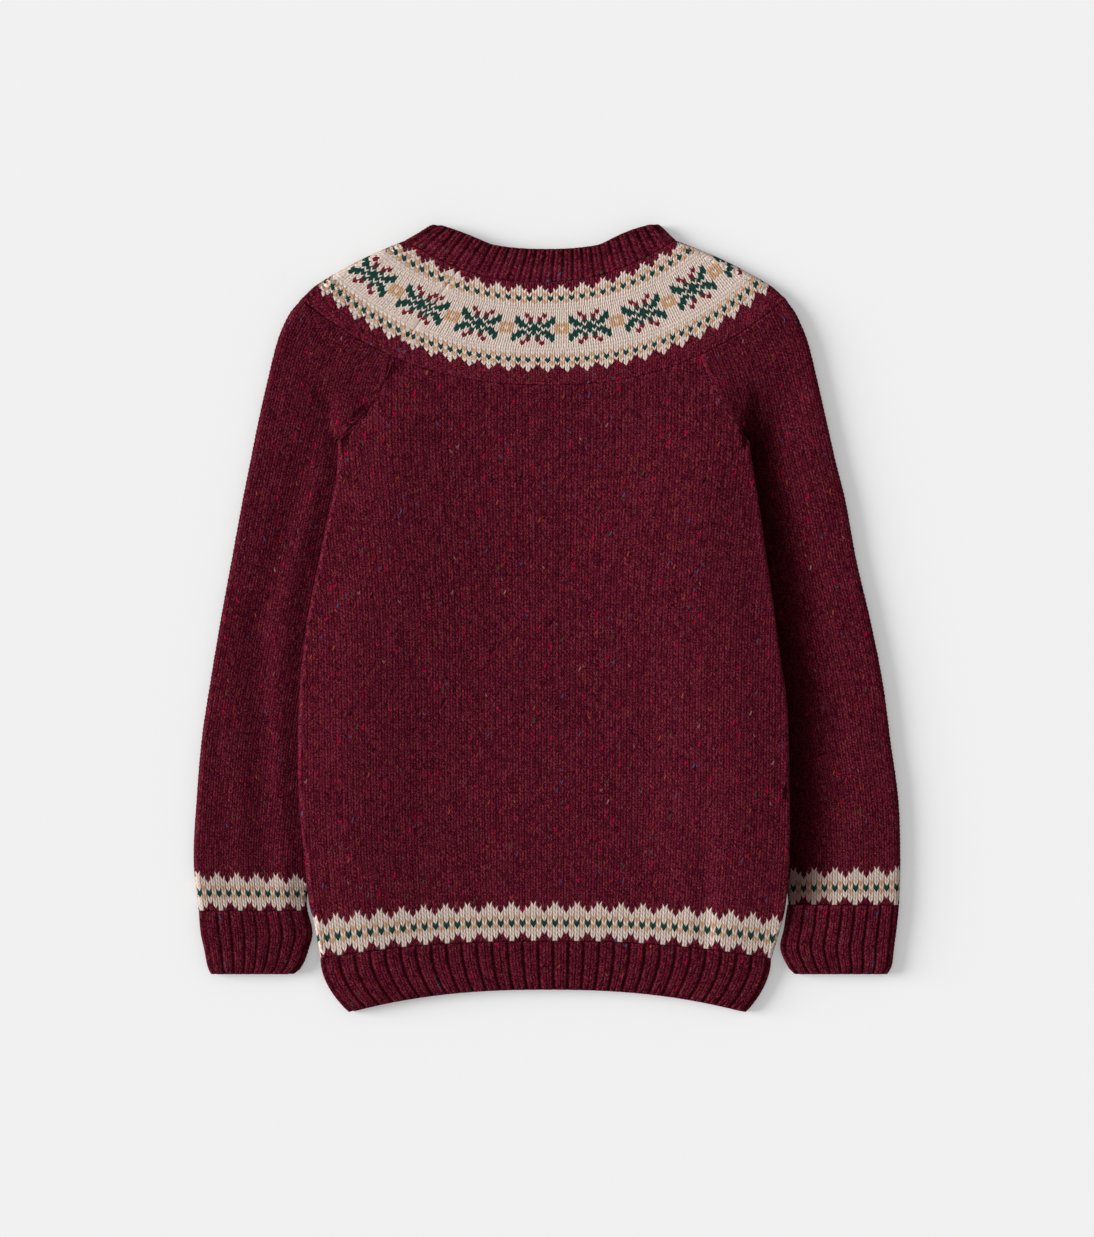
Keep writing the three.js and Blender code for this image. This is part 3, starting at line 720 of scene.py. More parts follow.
@dataclass
class BodyPanel(KnitPiece):
    """The back or the front of the body, from the hem seam up to the yoke.

    The wales stand upright and are cut off at the raglan seams.

    Attributes:
        face: Back or front.
        side_wales: Wales on each side of the middle line, which is more than the panel is wide.
        fold_turns: Turns of the wall at a side fold, from level to upright.
        hem_bow_reach: Height over the hem within which the courses follow its bow.
        top_bow_from: Height from which the courses bend up to the yoke seam.
        raglan_margin: Width of the strip along a raglan seam that isn't on a wale's own columns.
        above_fill: Share of the width between the raglan seams that the panel fills, as it ends lower
            in the middle.
    """

    face: Face = Face.BACK
    side_wales: int = 44
    per_wale: int = 4
    fold_turns: tuple[float, ...] = (67.5, 45, 22.5, 0)
    hem_middle_y: float = HEM_MIDDLE_Y
    hem_drop: float = HEM_DROP
    hem_bend: float = HEM_BEND
    hem_bow_reach: float = 200
    top_bow_from: float = 90
    raglan_margin: float = 1.5
    seam_dip: float = 0.22
    band_first: int = 1
    above_fill: float = 0.8
    gauge: Curve = Curve(((-226, 3.77), (-150, 3.95), (0, 4.02), (80, 4.22), (123, 4.34), (163, 4.36)))

    def columns(self) -> int:
        """Points across: those of the wales, and those round both folds."""
        return 2 * self.side_wales * self.per_wale + 1 + 2 * len(self.fold_turns)

    def middle_y(self, course: Array) -> Array:
        """Height of a course on the middle line, evenly from the hem seam to the yoke seam."""
        top = LIE.yoke_seam_back if self.face is Face.BACK else LIE.yoke_seam_front
        share = course / self.courses
        return between(self.hem_middle_y + LIE.seam / 2, top - LIE.seam / 2, share)

    def bows(self, course: Array) -> tuple[Array, Array]:
        """How much a course follows the hem's bow and the yoke seam's."""
        y = self.middle_y(course)
        hem = np.clip(1 - (y - self.hem_middle_y) / self.hem_bow_reach, 0, 1) ** 1.5
        top = np.clip((y - self.top_bow_from) / (self.middle_y(self.courses) - self.top_bow_from), 0, 1) ** 2
        return hem, top

    def edge(self, side: Side, course: Array) -> tuple[Array, Array, Array]:
        """Where a course meets the side fold or the raglan seam, and how round the cloth is there."""
        share = 1.0 if self.face is Face.BACK else LIE.front_raglan
        corner_y = side.raglan(share)[1]
        hem, top = self.bows(course)
        y = self.middle_y(course) - self.hem_drop * hem + (corner_y - self.middle_y(self.courses)) * top
        climb = np.clip((y - ARMPIT_Y) / (side.raglan_y - ARMPIT_Y), 0, 1)
        x = np.where(y > ARMPIT_Y, side.raglan(climb)[0] - LIE.seam / 2, side.body.at(y))
        return x, y, 1 - ease(y, ARMPIT_Y - 8, ARMPIT_Y)

    def flat_end(self, side: Side, course: Array) -> Array:
        """Distance from the middle line at which the fold or the seam's strip begins."""
        edge_x, _, roundness = self.edge(side, course)
        return edge_x - between(self.raglan_margin, LIE.edge_radius, roundness)

    def fold(self, side: Side, course: Array) -> Array:
        """Points of a side fold, outwards: a quarter of a circle, pulled out square at a raglan seam.

        Args:
            side: Left or right.
            course: The course of each point, as an array of rows and columns.

        Returns:
            The points.
        """
        up = self.face.value
        edge_x, _, roundness = self.edge(side, course)
        turn = np.radians(self.fold_turns)
        round_x = edge_x - LIE.edge_radius * (1 - np.cos(turn))
        square_x = between(self.flat_end(side, course), edge_x, 1 - turn / (np.pi / 2))
        points = self.on_cloth(side.sign * between(square_x, round_x, roundness), course)
        lift = LIE.body_lift(points[..., 0], points[..., 1])
        round_z = lift + LIE.edge_radius + up * np.maximum(LIE.edge_radius * np.sin(turn), LIE.seam / 2)
        points[..., 2] = between(points[..., 2], round_z, roundness)
        return points

    def wale_reach(self, course: Array) -> Array:
        """Distance of each wale's columns from the middle line, whether or not the panel is as wide."""
        number = np.linspace(-self.side_wales, self.side_wales, course.shape[1])
        return number * self.gauge.at(self.middle_y(course))

    def on_cloth(self, x: Array, course: Array) -> Array:
        """Points on the panel at a distance across, on their courses.

        A course's height is that on the middle line, lowered by the hem's bow and raised by the
        yoke seam's. The panel dips along the raglan and the yoke seam.

        Args:
            x: Distance from the middle line.
            course: The course of each point.

        Returns:
            The points.
        """
        sides = (LEFT, RIGHT)
        hem, top = self.bows(course)
        edges = [self.edge(side, course)[0] for side in sides]
        edge_x = np.where(x < 0, edges[0], edges[1])
        share = 1.0 if self.face is Face.BACK else LIE.front_raglan
        corners = [side.raglan(share)[0] for side in sides]
        corner_x = np.where(x < 0, corners[0], corners[1])
        rise = LIE.yoke_seam(self.face, x * corner_x / edge_x) - self.middle_y(self.courses)
        drop = self.hem_drop * np.abs(x / edge_x) ** self.hem_bend
        y = self.middle_y(course) - drop * hem + rise * top
        if self.face is Face.FRONT:
            return np.stack([x, y, LIE.body_lift(x, y)], axis=2)
        to_raglan = np.where(y > ARMPIT_Y, edge_x - np.abs(x), FAR)
        to_yoke = (self.courses - course) * COURSE_HEIGHT
        dip = self.seam_dip * (bell(to_raglan, RAGLAN_DIP_WIDTH) + bell(to_yoke, YOKE_DIP_WIDTH))
        return np.stack([x, y, LIE.body_top(x, y) - dip], axis=2)

    def place(self, course: Array) -> Array:
        """Places of the points, from the left fold to the right, or the other way on the front."""
        count = len(self.fold_turns)
        middle = course[:, count:-count]
        left_end, right_end = (self.flat_end(side, middle) for side in (LEFT, RIGHT))
        x = np.clip(self.wale_reach(middle), -left_end, right_end)
        left = self.fold(LEFT, course[:, :count])[:, ::-1]
        right = self.fold(RIGHT, course[:, :count])
        points = np.concatenate([left, self.on_cloth(x, middle), right], axis=1)
        return points if self.face is Face.BACK else points[:, ::-1]

    def kept(self, course: Array) -> Array:
        """The columns up to the edges keep their places, and those past them take the edges'."""
        count = len(self.fold_turns)
        middle = course[:, count:-count]
        reach = self.wale_reach(middle)
        past_left = (reach <= -self.flat_end(LEFT, middle)).sum(axis=1, keepdims=True)
        past_right = (reach >= self.flat_end(RIGHT, middle)).sum(axis=1, keepdims=True)
        last = middle.shape[1] - 1
        first_kept, last_kept = np.maximum(past_left - 1, 0), np.minimum(last + 1 - past_right, last)
        inside = np.clip(np.arange(last + 1), first_kept, last_kept)
        column = np.broadcast_to(np.arange(course.shape[1]), course.shape).copy()
        column[:, count:-count] = inside + count
        return column if self.face is Face.BACK else course.shape[1] - 1 - column[:, ::-1]

    def wales(self, course: Array, points: Array) -> Array:
        """Distance from the middle line, along the fold too, in stitches of the gauge there."""
        x = points[..., 0]
        edges = [self.edge(side, course) for side in (LEFT, RIGHT)]
        edge_x = np.where(x < 0, edges[0][0], edges[1][0])
        roundness = np.where(x < 0, edges[0][2], edges[1][2])
        past = np.maximum(np.abs(x) - (edge_x - LIE.edge_radius), 0) / LIE.edge_radius
        turn = np.arcsin(np.clip(past, 0, 1))
        extra = LIE.edge_radius * (turn - past) * roundness
        return (x + np.sign(x) * extra) / self.gauge.at(self.middle_y(course))

    def yarns(self, wale: Array, course: Array) -> Array:
        """The band over the hem seam, and wine above it."""
        return band_yarns(wale, course, self.band_first)

    def relief(self, wale: Array, course: Array) -> tuple[Array, Array]:
        """Stitches in relief, sunk into the cloth on the front, which rests on them."""
        relief, depth = super().relief(wale, course)
        if self.face is Face.FRONT:
            relief = relief - self.stitch.rise / 2
        return relief, depth

    def cut(self) -> tuple[float, float, float]:
        """The panel's width at its widest, its height to the raglan's end, and the area it covers."""
        y = np.linspace(self.hem_middle_y - self.hem_drop / 2, ARMPIT_Y, 200)
        below = area_under(LEFT.body.at(y) + RIGHT.body.at(y), y)
        share = np.linspace(0, 1, 50)
        (left, height), (right, _) = LEFT.raglan(share), RIGHT.raglan(share)
        above = area_under(left + right, height) * self.above_fill
        width = (LEFT.body.at(-90) + RIGHT.body.at(-90)) * MM
        length = (LEFT.raglan_y - self.hem_middle_y + self.hem_drop) * MM
        return float(width), float(length), float((below + above) * MM * MM)


@dataclass(frozen=True)
class Ribbing:
    """Ribs of knit stitches with a narrow groove between two of them.

    Attributes:
        wales: Knit wales on each rib.
        rise: Height of a rib over its groove.
        groove: Width of half a groove, as a share of a rib's width.
        sharp: How steep the sides of a rib are.
    """

    wales: int = 2
    rise: float = 1.2
    groove: float = 0.1
    sharp: float = 5.0
    over_base: float = 0.7
    # Share of the colour left under painted shade in a groove and on a rib's top.
    groove_open: float = 0.4
    top_open: float = 0.74

    def wale(self, rib: Array) -> Array:
        """Stitches across, all on the ribs: none is counted in a groove."""
        share = rib - np.floor(rib)
        inside = np.clip((share - self.groove) / (1 - 2 * self.groove), 0.001, 0.999)
        return self.wales * (np.floor(rib) + inside)

    def height(self, rib: Array) -> Array:
        """Height across a rib as a share of its rise: 1 less the distance from its middle to a power."""
        share = rib - np.floor(rib)
        return 1 - np.abs(2 * share - 1) ** self.sharp

    def openness(self, height: Array) -> Array:
        """Painted shade at a rib's height, as the share of the colour left: most on top, least in a groove.
        """
        return between(self.groove_open, self.top_open, height**0.5)


@dataclass
class HemRib(KnitPiece):
    """The rib of the hem on one face, bowed up in the middle and drawn in at its open edge.

    Attributes:
        seam_drop: How much lower the seam's ends are than its middle, and so on for the edge.
        grow_courses: Courses over which they grow from there.
        edge_hang: What the mean height is over that of the middle.
    """

    face: Face = Face.BACK
    ribs: int = 29
    per_rib: int = 16
    fold_turns: tuple[float, ...] = (67.5, 45, 22.5, 0)
    seam_y: float = HEM_MIDDLE_Y
    seam_drop: float = HEM_DROP
    edge_y: float = -260.8
    edge_drop: float = 16.2
    bend: float = HEM_BEND
    ribbing: Ribbing = field(default_factory=Ribbing)
    end_round: float = 1.5
    seam_rib: float = 0.3
    grow_courses: float = 1.6
    edge_hang: float = 2.0

    def columns(self) -> int:
        """Points across: those of the ribs and of both folds."""
        return self.ribs * self.per_rib + 1 + 2 * len(self.fold_turns)

    def rib(self) -> Array:
        """Ribs across at each column, going on round the folds."""
        inside = np.linspace(0, self.ribs, self.ribs * self.per_rib + 1)
        pitch = (LEFT.hem_seam_x + RIGHT.hem_seam_x) / self.ribs
        past = LIE.edge_radius * (np.pi / 2 - np.radians(self.fold_turns)) / pitch
        return np.concatenate([-past[::-1], inside, self.ribs + past])

    def place(self, course: Array) -> Array:
        """Places of the points. A course is a curve between the hem seam and the open edge."""
        ordered = course if self.face is Face.BACK else course[:, ::-1]
        down = 1 - ordered / self.courses
        narrowing = down**2
        left = between(LEFT.hem_seam_x, LEFT.hem_edge_x, narrowing)
        right = between(RIGHT.hem_seam_x, RIGHT.hem_edge_x, narrowing)
        count = len(self.fold_turns)
        level = self.columns() - 2 * count
        share = np.concatenate([np.zeros(count), np.linspace(0, 1, level), np.ones(count)])
        turn = np.radians(np.concatenate([self.fold_turns[::-1], np.full(level, 90.0), self.fold_turns]))
        outward = LIE.edge_radius * np.cos(turn) * np.where(share < 0.5, -1, 1)
        x = between(-left + LIE.edge_radius, right - LIE.edge_radius, share) + outward
        reach = np.where(x < 0, left, right)
        middle = between(self.seam_y - LIE.seam / 2, self.edge_y, down)
        drop = between(self.seam_drop, self.edge_drop, down)
        y = middle - drop * np.minimum(np.abs(x) / reach, 1) ** self.bend
        lift = LIE.body_lift(x, y)
        flat = lift if self.face is Face.FRONT else LIE.body_top(x, y)
        up = self.face.value
        rounded = lift + LIE.edge_radius + up * np.maximum(LIE.edge_radius * np.sin(turn), LIE.seam / 2)
        z = np.where(turn < np.radians(89), rounded, flat)
        points = np.stack([x, y, z], axis=2)
        return points if self.face is Face.BACK else points[:, ::-1]

    def wales(self, course: Array, points: Array) -> Array:
        """Stitches across, the same on every course."""
        rib = self.rib() if self.face is Face.BACK else self.rib()[::-1]
        return np.broadcast_to(self.ribbing.wale(rib), course.shape)

    def relief(self, wale: Array, course: Array) -> tuple[Array, Array]:
        """Ribs that grow out of the seam, with stitches on them, and a rounded open edge."""
        relief, depth = super().relief(wale, course)
        if self.face is Face.FRONT:
            return relief - self.stitch.rise / 2, depth
        ribs = self.ribbing.height(self.rib())
        grown = between(self.seam_rib, 1, ease(self.courses - course, 0, self.grow_courses))
        edge = self.end_round * bell(course * RIB_COURSE_HEIGHT, RIB_EDGE_WIDTH)
        height = (self.ribbing.rise * ribs - self.ribbing.rise + self.ribbing.over_base) * grown - edge
        # The ribs' grooves get painted shade.
        return height + relief * ribs, depth * self.ribbing.openness(ribs)

    def cut(self) -> tuple[float, float, float]:
        """Width at the seam, height with the drop of the ends, and the area between the two curves."""
        wide = (LEFT.hem_seam_x + RIGHT.hem_seam_x) * MM
        narrow = (LEFT.hem_edge_x + RIGHT.hem_edge_x) * MM
        tall = (self.seam_y - self.edge_y) * MM
        return wide, tall + self.edge_drop * MM, (wide * 2 + narrow) / 3 * (tall + self.edge_hang * MM)


class Tube(ABC):
    """A flattened tube: two faces that lie on each other, with half rounds between them.

    A class that has one gives the plan, from its first edge (0) to its second (1), and the top.
    """

    near: float = 0.02

    @abstractmethod
    def plan(self, face: Face, share: Array, course: Array) -> tuple[Array, Array]:
        """Where a share across a course is, seen from above."""

    @abstractmethod
    def top(self, x: Array, y: Array) -> Array:
        """Height of the upper face."""

    def fold(self, end: int, turns: Array, course: Array) -> Array:
        """Points round a fold.

        The fold is a half circle between the faces, in the plane that the plan ends in.

        Args:
            end: 0 for the first edge and 1 for the second.
            turns: Degrees of each column, from 90 on top to -90 underneath.
            course: The course of each point.

        Returns:
            The points.
        """
        inward = self.near if end == 0 else 1 - self.near
        edge_x, edge_y = self.plan(Face.BACK, np.full(course.shape, float(end)), course)
        back_x, back_y = self.plan(Face.BACK, np.full(course.shape, inward), course)
        length = np.hypot(edge_x - back_x, edge_y - back_y)
        out_x, out_y = (edge_x - back_x) / length, (edge_y - back_y) / length
        half = self.top(edge_x, edge_y) / 2
        turn = np.radians(turns)
        reach = half * (np.cos(turn) - 1)
        return np.stack([edge_x + out_x * reach, edge_y + out_y * reach, half * (1 + np.sin(turn))], axis=2)

    def flat(self, face: Face, share: Array, course: Array) -> Array:
        """Points on a face, between the middles of the two folds."""
        ends = [self.plan(face, np.full(course.shape, float(end)), course) for end in (0, 1)]
        length = np.hypot(ends[1][0] - ends[0][0], ends[1][1] - ends[0][1])
        margins = [self.top(*end) / 2 / length for end in ends]
        x, y = self.plan(face, between(margins[0], 1 - margins[1], share), course)
        z = self.top(x, y) if face is Face.BACK else np.zeros(np.shape(x))
        return np.stack([x, y, z], axis=2)


@dataclass
class Sleeve(Tube, KnitPiece):
    """A sleeve, from the cuff seam to the yoke: a flattened tube whose inner edge lies under the body.

    Its first edge is the inner one. Below the armpit the tube is closed along its underarm seam, and
    above it, its two ends meet the back and the front along the raglan seams.

    Attributes:
        side: Left or right.
        top_wales: Wales over the upper face, which is more than the sleeve is wide.
        drops: How much lower a course is at its inner edge than at its outer one.
        hollow: Distances from the body's edge between which the painted shadow beside it ends.
        hollow_top: How wide it is at the armpit, as a share of its width lower down.
        painted_shade_level: Share of the colour left elsewhere, under an even painted shade.
        hollow_shade: How much of the colour the painted shadow there takes away, at most.
        hollow_narrows: Height from which it narrows to the armpit.
        under_margin: Share of the width left to each fold on the lower face.
        relief_end: How they end past the outer fold, column by column.
        area_fill: Mean width over that between the widest courses, as the ends slant.
    """

    side: Side = LEFT
    top_wales: int = 33
    per_wale: int = 4
    under_columns: int = 24
    out_turns: tuple[float, ...] = tuple(np.linspace(78, -78, 13))
    in_turns: tuple[float, ...] = (60, 30, 2)
    drops: Curve = Curve(((0, 0), (0.15, 5), (0.4, 13), (0.65, 17), (0.807, 19), (0.9, 27), (1, 41.2)))
    gauge: Curve = Curve(((0, 3.4), (0.1, 3.45), (0.3, 3.6), (0.8, 3.75), (1, 3.8)))
    gauge_scale: float = 1.0
    band_first: int = 0
    seam_dip: float = 0.22
    # The painted shadow in the hollow beside the body, and an even painted shade over the sleeve.
    hollow: tuple[float, float] = (4, 22)
    hollow_top: float = 0.75
    painted_shade_level: float = 0.88
    hollow_shade: float = 0.3
    hollow_from: tuple[float, float] = (-222, -196)
    hollow_narrows: float = 10
    hollow_fade: float = 50
    under_margin: float = 0.04
    inner_relief: float = 0.3
    relief_end: tuple[float, ...] = (0.8, 0.6, 0.4, 0.2, 0.05)
    area_fill: float = 0.97

    def columns(self) -> int:
        """Points round the tube."""
        top = self.top_wales * self.per_wale + 1
        return len(self.in_turns) * 2 + top + len(self.out_turns) + self.under_columns

    def outer_y(self, course: Array) -> Array:
        """Height of a course at the outer edge, evenly from the cuff seam to the shoulder corner."""
        low, high = self.side.cuff_seam_y + LIE.seam / 2, SHOULDER_Y - LIE.seam / 2
        return between(low, high, course / self.courses)

    def inner_edge(self, face: Face, course: Array) -> tuple[Array, Array, Array]:
        """Distance from the middle line and height of a course's inner edge, and whether it is cut."""
        share = course / self.courses
        y = self.outer_y(course) - self.drops.at(share)
        climb = np.clip((y - ARMPIT_Y) / (self.side.raglan_y - ARMPIT_Y), 0, 1)
        if face is Face.FRONT:
            climb = climb * LIE.front_raglan
            y = np.where(y > ARMPIT_Y, between(ARMPIT_Y, self.side.raglan_y, climb), y)
        cut_x = self.side.raglan(climb)[0] + LIE.seam / 2
        tucked = self.side.tucked(np.minimum(y, ARMPIT_Y))
        return np.where(y > ARMPIT_Y, cut_x, tucked), y, ease(y, ARMPIT_Y - 4, ARMPIT_Y + 2)

    def plan(self, face: Face, share: Array, course: Array) -> tuple[Array, Array]:
        """A straight line from the inner edge to the outer one, bowed to the yoke seam at the top."""
        inner_x, inner_y, _ = self.inner_edge(face, course)
        outer_y = self.outer_y(course)
        x = between(inner_x, self.side.sleeve.at(outer_y), share)
        corner_share = 1.0 if face is Face.BACK else LIE.front_raglan
        corner_x, corner_y = self.side.raglan(corner_share)
        seam_x = between(corner_x + LIE.seam / 2, self.side.shoulder_x, share)
        bow = LIE.yoke_seam(face, self.side.sign * seam_x) - between(corner_y, SHOULDER_Y, share)
        climb = np.clip((inner_y - ARMPIT_Y) / (self.side.raglan_y - ARMPIT_Y), 0, 1)
        return self.side.sign * x, between(inner_y, outer_y, share) + bow * climb**2

    def top(self, x: Array, y: Array) -> Array:
        """Height of the sleeve's upper face."""
        return LIE.sleeve_top(self.side, x, y)

    def lengths(self, course: Array) -> Array:
        """Width of the sleeve along a course."""
        inner_x, inner_y, _ = self.inner_edge(Face.BACK, course)
        outer_y = self.outer_y(course)
        return np.hypot(self.side.sleeve.at(outer_y) - inner_x, outer_y - inner_y)

    def pitch(self, course: Array) -> Array:
        """Width of a stitch on a course."""
        return self.gauge.at(course / self.courses) * self.gauge_scale

    def flat_length(self, course: Array) -> Array:
        """Width of the upper face between its two folds."""
        inner_x, inner_y, _ = self.inner_edge(Face.BACK, course)
        outer_y = self.outer_y(course)
        sign = self.side.sign
        folds = self.top(sign * inner_x, inner_y) + self.top(sign * self.side.sleeve.at(outer_y), outer_y)
        return self.lengths(course) - folds / 2

    def top_wale(self) -> Array:
        """Wales between each column of the upper face and the outer fold, from the inside out."""
        return np.linspace(self.top_wales, 0, self.top_wales * self.per_wale + 1)

    def kept(self, course: Array) -> Array:
        """Columns of the upper face past the inner edge take the edge's place."""
        first, count = len(self.in_turns), self.top_wales * self.per_wale + 1
        past = self.top_wale() * self.pitch(course[:, :count]) >= self.flat_length(course[:, :count])
        column = np.broadcast_to(np.arange(course.shape[1]), course.shape).copy()
        edge = np.maximum(past.sum(axis=1, keepdims=True) - 1, 0)
        column[:, first: first + count] = first + np.maximum(np.arange(count), edge)
        return course.shape[1] - 1 - column[:, ::-1] if self.side is LEFT else column

    def place(self, course: Array) -> Array:
        """Places of the points, round from the inner edge over the top and back underneath.

        Above the armpit the inner fold is pulled out flat to the raglan seam.
        """
        turns, top_count = len(self.in_turns), self.top_wales * self.per_wale + 1
        bounds = np.cumsum([turns, top_count, len(self.out_turns), self.under_columns])
        in_top, on_top, out_fold, under, in_under = np.split(course, bounds, axis=1)
        share = 1 - np.minimum(self.top_wale() * self.pitch(on_top) / self.flat_length(on_top), 1)
        top = self.flat(Face.BACK, share, on_top)
        under_share = np.linspace(1 - self.under_margin, self.under_margin, under.shape[1])
        bottom = self.flat(Face.FRONT, np.broadcast_to(under_share, under.shape), under)
        first = self.inner_fold(Face.BACK, in_top)
        last = self.inner_fold(Face.FRONT, in_under)[:, ::-1]
        outer = self.fold(1, np.array(self.out_turns), out_fold)
        points = np.concatenate([first, top, outer, bottom, last], axis=1)
        upper = turns + top_count
        points[:, :upper, 2] -= self.dips(course[:, :upper], points)
        points = soften_shoulders(points)
        return points[:, ::-1] if self.side is LEFT else points

    def dips(self, course: Array, points: Array) -> Array:
        """Depth of the dips along the raglan seam and the yoke seam."""
        inner_x, inner_y, _ = self.inner_edge(Face.BACK, course)
        x, y = points[:, : course.shape[1], 0], points[:, : course.shape[1], 1]
        to_raglan = np.where(inner_y > ARMPIT_Y, np.hypot(np.abs(x) - inner_x, y - inner_y), FAR)
        to_yoke = (self.courses - course) * COURSE_HEIGHT
        return self.seam_dip * (bell(to_raglan, RAGLAN_DIP_WIDTH) + bell(to_yoke, YOKE_DIP_WIDTH))

    def inner_fold(self, face: Face, course: Array) -> Array:
        """Points from the seam to the flat of a face: a quarter round, or a flat strip at a raglan seam."""
        turns = np.array(self.in_turns)[::-1]
        rounded = self.fold(0, face.value * turns, course)
        inner_x, inner_y, _ = self.inner_edge(face, course)
        is_cut = self.inner_edge(Face.BACK, course)[2]
        margin = self.top(self.side.sign * inner_x, inner_y) / 2 / self.lengths(course)
        share = np.arange(len(turns)) / len(turns) * margin
        x, y = self.plan(face, share, course)
        z = self.top(x, y) if face is Face.BACK else np.zeros(x.shape)
        return between(rounded, np.stack([x, y, z], axis=2), is_cut[..., None])

    def wales(self, course: Array, points: Array) -> Array:
        """Stitches from the outer fold: less than 0 over the top, and more round the fold and under."""
        ordered = points[:, ::-1] if self.side is LEFT else points
        steps = np.linalg.norm(np.diff(ordered, axis=1), axis=2)
        along = np.concatenate([np.zeros((len(steps), 1)), np.cumsum(steps, axis=1)], axis=1)
        first, count = len(self.in_turns), self.top_wales * self.per_wale + 1
        pitch = self.pitch(course)
        widest = -self.flat_length(course[:, :1]) / pitch[:, :1]
        wale = (along - along[:, first + count - 1: first + count]) / pitch
        wale[:, first: first + count] = np.maximum(-self.top_wale(), widest)
        wale[:, :first] = widest - (along[:, first: first + 1] - along[:, :first]) / pitch[:, :1]
        return wale[:, ::-1] if self.side is LEFT else wale

    def shade(self, points: Array) -> Array:
        """Share of the colour left under painted shade: a painted shadow in the hollow beside the body, as
        far out as it goes, and an even painted shade over the sleeve.
        """
        x, y = np.abs(points[..., 0]), points[..., 1]
        out = x - self.side.body.at(np.minimum(y, ARMPIT_Y))
        width = between(1, self.hollow_top, ease(y, self.hollow_narrows, ARMPIT_Y))
        hollow = 1 - ease(out / width, *self.hollow)
        upward = ease(y, *self.hollow_from) * (1 - ease(y, ARMPIT_Y, ARMPIT_Y + self.hollow_fade))
        # A painted shadow in the hollow beside the body, times an even painted shade over the whole sleeve.
        return (1 - self.hollow_shade * hollow * upward) * self.painted_shade_level

    def relief(self, wale: Array, course: Array) -> tuple[Array, Array]:
        """Stitches in relief, fainter on the hidden faces."""
        relief, depth = super().relief(wale, course)
        strength = np.full(self.columns(), 1.0)
        strength[: len(self.in_turns)] = self.inner_relief
        under = len(self.in_turns) + self.under_columns
        strength[-under:] = 0
        strength[-under - len(self.relief_end): -under] = self.relief_end
        strength = strength[::-1] if self.side is LEFT else strength
        return relief * strength, depth

    def yarns(self, wale: Array, course: Array) -> Array:
        """The band over the cuff, and wine above it."""
        return band_yarns(wale, course, self.band_first)

    def cut(self) -> tuple[float, float, float]:
        """The sleeve's widest round, its length, and the area of both its faces."""
        course = np.linspace(0, self.courses, 200)
        width = self.lengths(course) * 2
        length = SHOULDER_Y - self.side.cuff_seam_y
        area = width.mean() * length * MM * MM * self.area_fill
        return float(width.max() * MM), float(length * MM), float(area)


